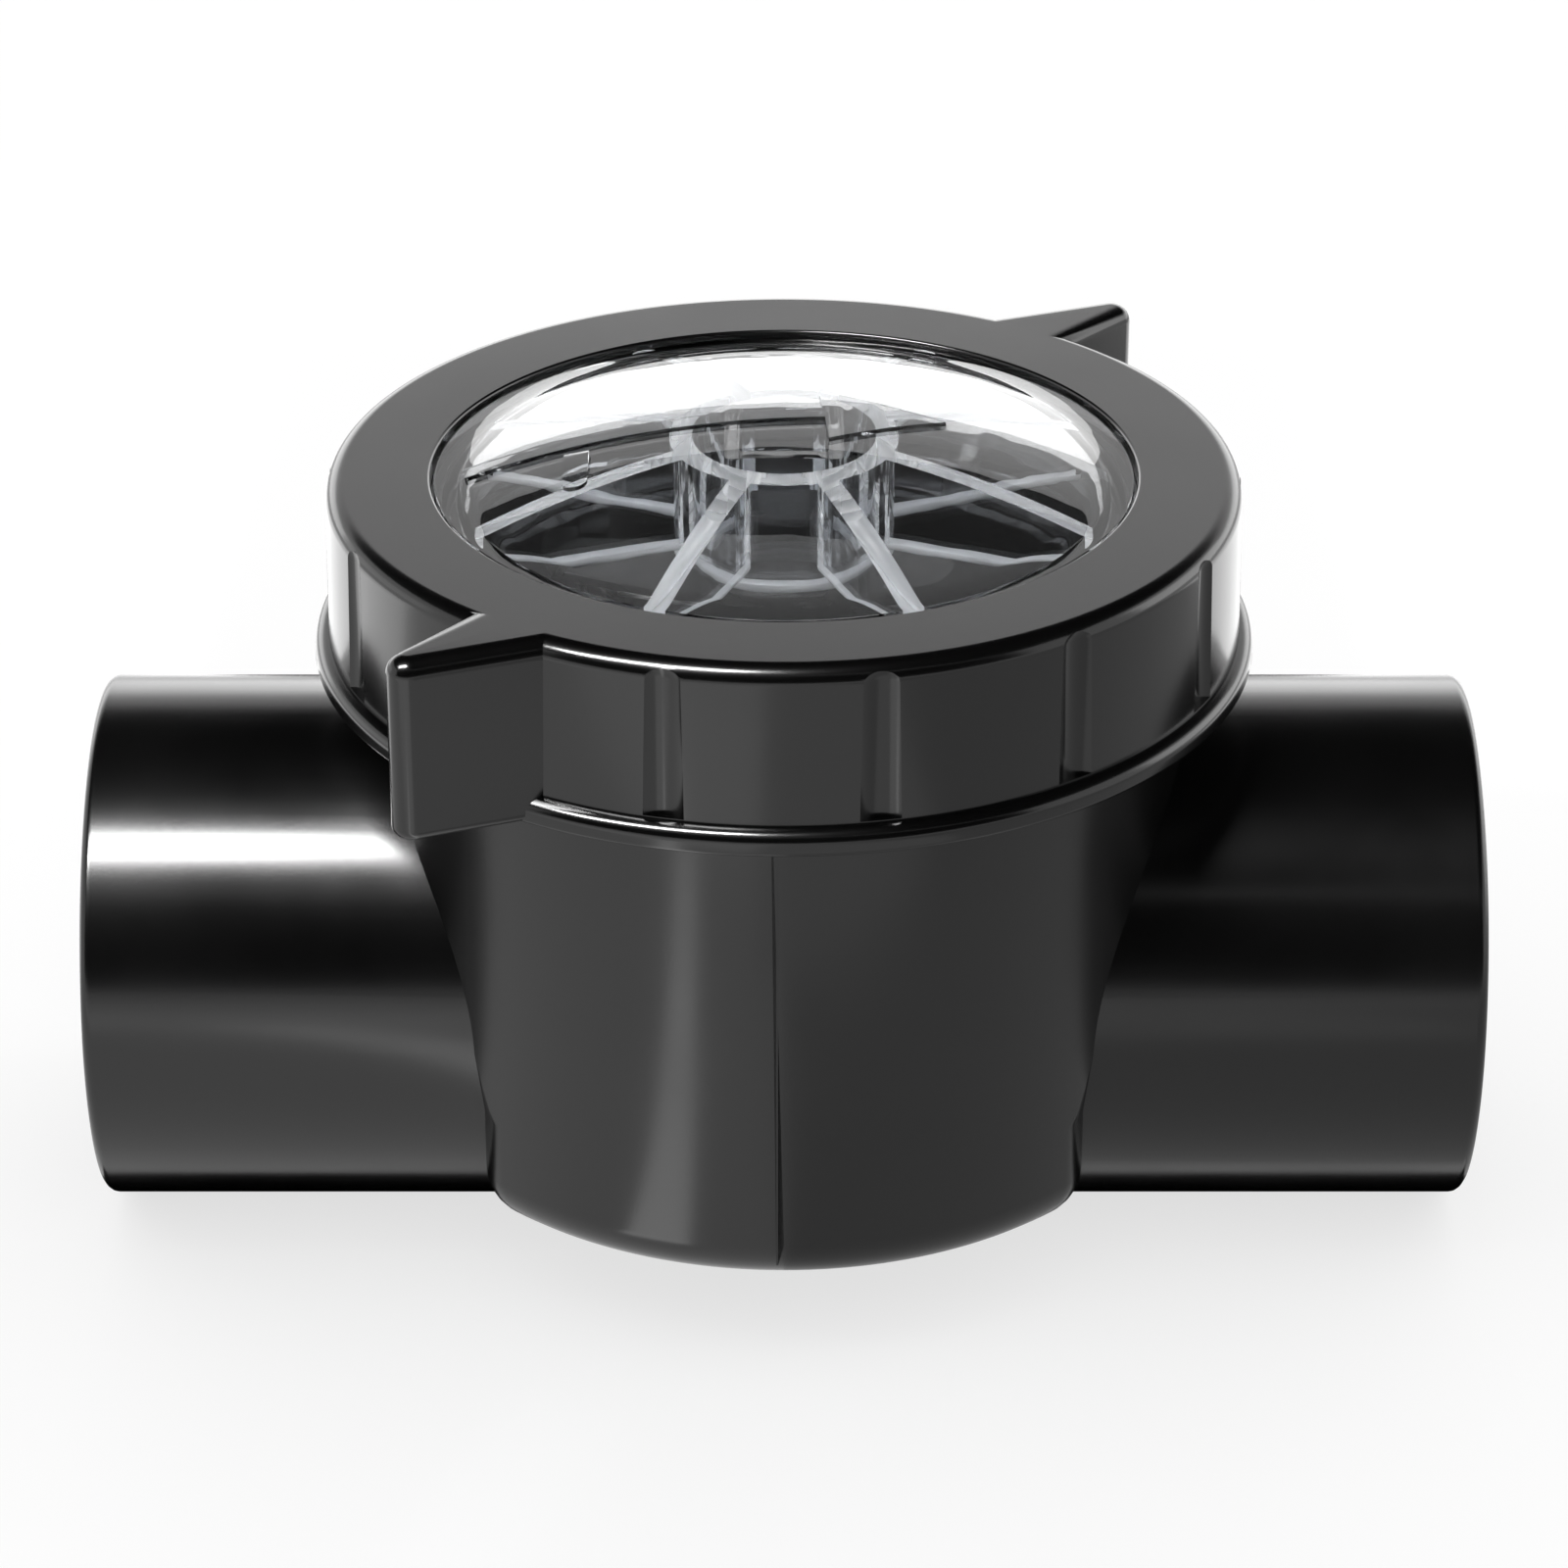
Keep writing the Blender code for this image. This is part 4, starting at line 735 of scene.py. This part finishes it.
# %% The lid's shell
DOME_TOP = 78.442
DOME_WALL = 3.5
DOME_CHORD = 44.2
RIM_TOP = 71.2
DOME_RISE = DOME_TOP - RIM_TOP
DOME_RADIUS = (DOME_CHORD**2 + DOME_RISE**2) / (2 * DOME_RISE)
DOME_CENTRE = DOME_TOP - DOME_RADIUS
FLANGE_TOP = 69.142
FLANGE_BOTTOM = 64.142
SKIRT_BOTTOM = 50.442
SKIRT_RADIUS = 49.6
SKIRT_INNER = 43.4
RIM_RADIUS = 47.4
FLANGE_RADIUS = 55.0
CHAMFER = 0.6
SLOT_RADIUS = 45.9
SLOT_LOW = 55.442
SLOT_HIGH = 59.342


def dome(radius, start, end, rings):
    """Points on the dome at one of its radii, between two distances from the lid's axis."""
    spans = [start + (end - start) * i / rings for i in range(rings + 1)]
    return [(r, DOME_CENTRE + math.sqrt(radius**2 - r**2)) for r in spans]


def turned_mm(name, points, steps):
    """A solid turned about the lid's axis from points in millimetres above the port axis."""
    return spin(name, [(radius * MM, up(height)) for radius, height in points], steps)


shell = dome(DOME_RADIUS, 0, DOME_CHORD, 20)
shell += [(46.9, RIM_TOP), (47.25, RIM_TOP - 0.12), (RIM_RADIUS, RIM_TOP - 0.5), (RIM_RADIUS, FLANGE_TOP)]
shell += [(FLANGE_RADIUS - CHAMFER, FLANGE_TOP), (FLANGE_RADIUS, FLANGE_TOP - CHAMFER)]
shell += [(FLANGE_RADIUS, FLANGE_BOTTOM), (SKIRT_RADIUS, FLANGE_BOTTOM)]
shell += [(SKIRT_RADIUS, SLOT_HIGH), (SLOT_RADIUS, SLOT_HIGH)]
shell += [(SLOT_RADIUS, SLOT_LOW), (SKIRT_RADIUS, SLOT_LOW)]
shell += [(SKIRT_RADIUS, SKIRT_BOTTOM + CHAMFER), (SKIRT_RADIUS - CHAMFER, SKIRT_BOTTOM)]
shell += [(SKIRT_INNER, SKIRT_BOTTOM)]
shell += dome(DOME_RADIUS - DOME_WALL, SKIRT_INNER, 0, 20)
lid = turned_mm("lid_shell", shell, BIG)

# %% [markdown]
# The tube's lower edge is fully rounded, as the ribs' lower edges are, so that the mould lets go of them.
# In the clear plastic these roundings act as lenses. The ribs run on into the tube and the skirt, and end
# inside them.

# %% The lid's tube, socket and ribs
HUB_BOTTOM = 58.742
RIB_BOTTOM = 61.442
HUB_RADIUS = 15.2
HUB_WALL = 3.0
HUB_EDGE = HUB_WALL / 2
HUB_STEPS = 100  # with 96 steps, a corner of the tube met a rib's rounding in an edge of four faces
RIBS = 8
FIRST_RIB = 22.5
RIB_HALF = 1.5 * MM
RIB_EDGE = 1.4 * MM
RIB_INTO_TUBE = 1.4
RIB_INTO_SKIRT = 2.8
tube_top = DOME_TOP - DOME_WALL / 2
hub = turned_mm(
    "hub",
    [(HUB_RADIUS, tube_top), *arc((HUB_RADIUS - HUB_EDGE, HUB_BOTTOM + HUB_EDGE), HUB_EDGE, 0, -180, 10),
     (HUB_RADIUS - HUB_WALL, tube_top), (HUB_RADIUS, tube_top)],
    HUB_STEPS,
)
combine(lid, hub, "UNION")

PEG_ROOM = 5.9 * MM
SOCKET_HALF = 7.9 * MM
socket = add_block(
    "socket", (-SOCKET_HALF, -SOCKET_HALF, up(HUB_BOTTOM)), (SOCKET_HALF, SOCKET_HALF, up(tube_top))
)


def upright_edge(edge):
    a, b = (vertex.co for vertex in edge.verts)
    return (a.xy - b.xy).length < ABOUT


bevel(socket, upright_edge, 1.0 * MM, 4)
hollow = add_block(
    "socket_hollow", (-PEG_ROOM, -PEG_ROOM, up(HUB_BOTTOM) - PAST), (PEG_ROOM, PEG_ROOM, up(tube_top) + PAST)
)
bevel(hollow, upright_edge, 0.5 * MM, 3)
combine(socket, hollow, "DIFFERENCE")
combine(lid, socket, "UNION")


def lower_side_edge(edge):
    a, b = (vertex.co for vertex in edge.verts)
    return level_edge(up(RIB_BOTTOM))(edge) and abs(a.x - b.x) > RIB_HALF and abs(a.y - b.y) < ABOUT


rib_inside = HUB_RADIUS - RIB_INTO_TUBE
rib_outside = SKIRT_INNER + RIB_INTO_SKIRT
rib_top = dome(DOME_RADIUS - DOME_WALL / 2, rib_outside, rib_inside, 8)
rib_points = [(rib_inside, RIB_BOTTOM), (rib_outside, RIB_BOTTOM), *rib_top]
rib_outline = [(x * MM, up(z)) for x, z in rib_points]
for number in range(RIBS):
    rib = thick_outline("rib", rib_outline, -RIB_HALF, RIB_HALF, "XZ")
    bevel(rib, lower_side_edge, RIB_EDGE, 6)
    pick(rib)
    rib.rotation_euler = (0, 0, math.radians(FIRST_RIB + 360 / RIBS * number))
    bpy.ops.object.transform_apply(location=True, rotation=True, scale=True)
    combine(lid, rib, "UNION")

# %% [markdown]
# A plain raised arrow on top of the dome shows the way the water flows, and a small nib beside it marks
# where the plastic was let into the mould. Each outline is given a thickness and cut to a skin just over
# the dome, so that it follows the curve of the lid.

# %% The flow arrow and the nib
RAISED = 0.6


def raised_on_dome(name, outline):
    """The outline, in millimetres, as a low relief that follows the dome."""
    in_metres = [(x * MM, y * MM) for x, y in outline]
    relief = thick_outline(name, in_metres, up(FLANGE_TOP - 4), up(DOME_TOP + 2))
    skin = dome(DOME_RADIUS + RAISED, 0, 46, 24) + dome(DOME_RADIUS - 1, 46, 0, 24)
    return combine(relief, turned_mm("skin", skin, BIG), "INTERSECT")


arrow = [(-42.9, -4.1), (5.5, 1.1), (6.0, -5.6), (21.9, 3.0), (4.8, 10.6), (5.2, 4.2), (-43.2, -1.1)]
combine(lid, raised_on_dome("arrow", arrow), "UNION")
NIB_X, NIB_HALF = -27.8, 1.7
nib = arc((NIB_X, -12.6), NIB_HALF, 180, 360, 10) + [(NIB_X + NIB_HALF, -4.6), (NIB_X - NIB_HALF, -4.6)]
combine(lid, raised_on_dome("nib", nib), "UNION")
finish_piece(lid, "lid", "clear_plastic", clear_lid, "lid", angle=25)
lid.data.materials.append(pale_rib)
pale_faces = 0
for face in lid.data.polygons:
    reach = face.center.xy.length / MM
    height = (face.center.z - AXIS_Z) / MM
    tube_edge = HUB_RADIUS - 3.2 < reach < HUB_RADIUS + 0.1 and height < HUB_BOTTOM + 1.6
    rib_edge = HUB_RADIUS < reach < SKIRT_INNER - 0.1 and height < RIB_BOTTOM + 1.5
    if tube_edge or rib_edge:
        face.material_index = 1
        pale_faces += 1
print("pale faces under the dome:", pale_faces)

# %% [markdown]
# The pieces inside are good in the construction model, but their meshes are loose triangles, shaded flat.
# Each is copied, its doubles are merged, and it is shaded smooth. The copy then stands for the original.

# %% The cartridge and the flap
FINISHES = {
    "dark_plastic": cage_black,
    "rubber": seal_rubber,
    "stainless_steel": stainless,
    "white_plastic": bush_white,
}
SLOTS = {part["node"]: part["material_slot"] for part in frame["record"]["subparts"]}
BODIES = frame["record"]["behaviour"]["bodies"]
BODY_OF = {node: body for body, members in BODIES.items() for node in members}


def smooth_copy(node):
    """A merged and smoothed copy of a node, which it replaces."""
    mesh = nodes[node].data.copy()
    obj = bpy.data.objects.new(f"{node}_smooth", mesh)
    bpy.context.scene.collection.objects.link(obj)
    pick_edges(obj, lambda edge: True)
    bpy.ops.mesh.select_all(action="SELECT")
    bpy.ops.mesh.remove_doubles(threshold=ABOUT)
    bpy.ops.mesh.dissolve_limited(angle_limit=math.radians(1))
    leave_edit()
    finish_piece(obj, BODY_OF[node], SLOTS[node], FINISHES[SLOTS[node]], node, angle=40)


for node in sorted(nodes):
    if node not in ("valve_body", "lock_ring", "lid"):
        smooth_copy(node)

# %% [markdown]
# The floor is a large pale sheet, and the room is a white tent of soft light. The camera, mirrors and
# clear plastic see the room at full white and the floor at seven tenths of it plus its own shading, which
# Light Path's outputs pick out. So the background stays white with no more light on the valve, and the
# floor still shows the valve's shadow.

# %% The floor and the world
pick_none()
bpy.ops.mesh.primitive_plane_add(size=12, location=(0, 0, 0))
floor = bpy.context.object
floor.name = "floor"

scene = bpy.context.scene
scene.view_settings.view_transform = "Standard"
scene.cycles.max_bounces = scene.cycles.glossy_bounces = scene.cycles.transmission_bounces = 24


def white_for_camera(tree, shader_socket, share, x=0):
    """Mixes a shader with white of strength 1 for camera, mirror and clear rays."""
    rays = add_node(tree, "ShaderNodeLightPath", x - 600, 300)
    seen = add_node(tree, "ShaderNodeMath", x - 400, 300, operation="MAXIMUM")
    seen_all = add_node(tree, "ShaderNodeMath", x - 200, 300, operation="MAXIMUM")
    share_node = add_node(tree, "ShaderNodeMath", x, 300, operation="MULTIPLY")
    share_node.inputs[1].default_value = share
    mix = add_node(tree, "ShaderNodeMixShader", x + 200, 0)
    tree.links.new(rays.outputs["Is Camera Ray"], seen.inputs[0])
    tree.links.new(rays.outputs["Is Glossy Ray"], seen.inputs[1])
    tree.links.new(seen.outputs[0], seen_all.inputs[0])
    tree.links.new(rays.outputs["Is Transmission Ray"], seen_all.inputs[1])
    tree.links.new(seen_all.outputs[0], share_node.inputs[0])
    tree.links.new(share_node.outputs[0], mix.inputs["Fac"])
    tree.links.new(shader_socket, mix.inputs[1])
    return mix


paper = bpy.data.materials.new("floor_paper")
paper.use_nodes = True
paper_tree = paper.node_tree
paper_shader = paper_tree.nodes["Principled BSDF"]
paper_shader.inputs["Base Color"].default_value = (0.95, 0.95, 0.95, 1)
paper_shader.inputs["Roughness"].default_value = 0.9
paper_mix = white_for_camera(paper_tree, paper_shader.outputs["BSDF"], 0.7)
paper_white = add_node(paper_tree, "ShaderNodeEmission", 0, -200)
paper_tree.links.new(paper_white.outputs["Emission"], paper_mix.inputs[2])
paper_tree.links.new(paper_mix.outputs[0], paper_tree.nodes["Material Output"].inputs["Surface"])
floor.data.materials.append(paper)

world = bpy.data.worlds.new("white_tent")
scene.world = world
world.use_nodes = True
world_tree = world.node_tree
soft_white = world_tree.nodes["Background"]
soft_white.inputs["Color"].default_value = (1, 1, 1, 1)
soft_white.inputs["Strength"].default_value = 1.05
clear_white = add_node(world_tree, "ShaderNodeBackground", 0, -200)
clear_white.inputs["Color"].default_value = (1, 1, 1, 1)
world_mix = white_for_camera(world_tree, soft_white.outputs["Background"], 1.0)
world_tree.links.new(clear_white.outputs["Background"], world_mix.inputs[2])
world_tree.links.new(world_mix.outputs[0], world_tree.nodes["World Output"].inputs["Surface"])

# %% [markdown]
# Glossy black plastic shows little else than what it mirrors. A photographer sets up cards for it: dark
# ones overhead and in front, for deep blacks with clean edges, and grey and bright ones on the table, for
# soft bands. Two upright ones stand far out at the sides, where rounded edges may mirror them. Each card
# here is a thin sheet that glows in one shade: 0 for black cloth, 1 for the white tent, and more for a
# sheet that a lamp shines on. Only one kind of ray sees it, so it shapes the reflections and puts no
# light or shadow on the valve.

# %% The cards
RAYS = ("camera", "diffuse", "glossy", "shadow", "transmission", "volume_scatter")


def hide_from(obj, *rays):
    for ray in rays:
        setattr(obj, f"visible_{ray}", False)


def add_card(name, low, high, shade, turn=0, seen_by="glossy"):
    """A flat sheet between two corners, turned about the lid's axis, that one kind of ray sees."""
    card = add_block(name, low, high)
    card.data.transform(Matrix.Rotation(math.radians(turn), 4, "Z"))
    hide_from(card, *(ray for ray in RAYS if ray != seen_by))
    cloth = bpy.data.materials.new(name)
    cloth.use_nodes = True
    cloth_tree = cloth.node_tree
    glow = add_node(cloth_tree, "ShaderNodeEmission", -200, 0)
    glow.inputs["Color"].default_value = (shade, shade, shade, 1)
    cloth_tree.links.new(glow.outputs["Emission"], cloth_tree.nodes["Material Output"].inputs["Surface"])
    card.data.materials.append(cloth)


add_card("card_overhead", (-1.5, -0.9, 1.0), (1.5, 1.5, 1.01), 0.0)
add_card("card_front", (-1.5, -0.96, 0.1), (1.5, -0.95, 1.0), 0.0)
# The black card under the valve is painted shadow: it stands in for the valve's shadow on the floor where
# the pipes' undersides mirror it.
add_card("card_under_painted_shadow", (-0.1, -0.026, 0.001), (0.1, 0.3, 0.002), 0.0)
add_card("card_near_right", (0.1, -0.16, 0.001), (0.9, 0.105, 0.002), 0.55)
add_card("card_near_middle", (0.0, -0.16, 0.001), (0.1, -0.03, 0.002), 0.55)
add_card("card_far_right", (0.12, -0.9, 0.001), (0.9, -0.16, 0.002), 0.55)
add_card("card_far_middle", (-0.02, -0.9, 0.001), (0.12, -0.16, 0.002), 0.85)
add_card("card_far_left", (-0.4, -0.5, 0.001), (-0.02, -0.2, 0.002), 1.4)
add_card("card_strip", (-0.008, -0.24, 0.003), (0.008, -0.07, 0.004), 2.6, -23.5)
add_card("card_back_left", (-0.45, 0.03, 0.001), (-0.1, 0.4, 0.002), 2.1)
add_card("card_back_right", (0.1, 0.115, 0.001), (0.45, 0.4, 0.002), 2.1)
add_card("card_side_left", (-2.31, 0.1, 0.05), (-2.3, 2.1, 0.8), 1.5)
add_card("card_side_right", (2.3, 0.1, 0.05), (2.31, 2.1, 1.1), 2.8)
add_card("card_behind_lid", (-2.0, 2.0, 0.75), (2.0, 2.01, 2.3), 0.15, seen_by="transmission")

# %% [markdown]
# The photograph was taken from a little above, straight from the front, with a long lens. The camera
# stands 740 mm from a point on the lid's axis, so the rim of the lid shows as an ellipse of the same
# flatness.

# %% The camera
AIM = Vector((0, 0, up(23.7)))
DISTANCE = 740 * MM
ELEVATION = math.radians(27.5)
camera_data = bpy.data.cameras.new("camera")
camera_data.sensor_width = 36
camera_data.lens = 121.95
camera_data.clip_start = 0.01
camera = bpy.data.objects.new("camera", camera_data)
scene.collection.objects.link(camera)
camera.location = AIM + DISTANCE * Vector((0, -math.cos(ELEVATION), math.sin(ELEVATION)))
camera.rotation_euler = (AIM - camera.location).to_track_quat("-Z", "Y").to_euler()
scene.camera = camera


# %% [markdown]
# Two soft boxes make the brightest reflections. A strip high on the left draws the streak along the pipe
# and the ring's edge, and a long low one at the back is what the far half of the dome mirrors.

# %% The lamps
def soft_box(name, place, target, size, power):
    """A rectangular area lamp that looks at a target, and shows in reflections and through the lid."""
    data = bpy.data.lights.new(name, "AREA")
    data.shape = "RECTANGLE"
    data.size, data.size_y = size
    data.energy = power
    lamp = bpy.data.objects.new(name, data)
    scene.collection.objects.link(lamp)
    lamp.location = place
    lamp.rotation_euler = (Vector(target) - Vector(place)).to_track_quat("-Z", "Y").to_euler()
    hide_from(lamp, "camera", "diffuse")
    return lamp


soft_box("strip_left", (-0.45, -0.4, 0.95), (-0.45, 0, AXIS_Z), (0.7, 0.17), 27)
soft_box("backdrop", (0, 2.2, 0.4), (0, 0, 0.4), (5, 0.8), 24)
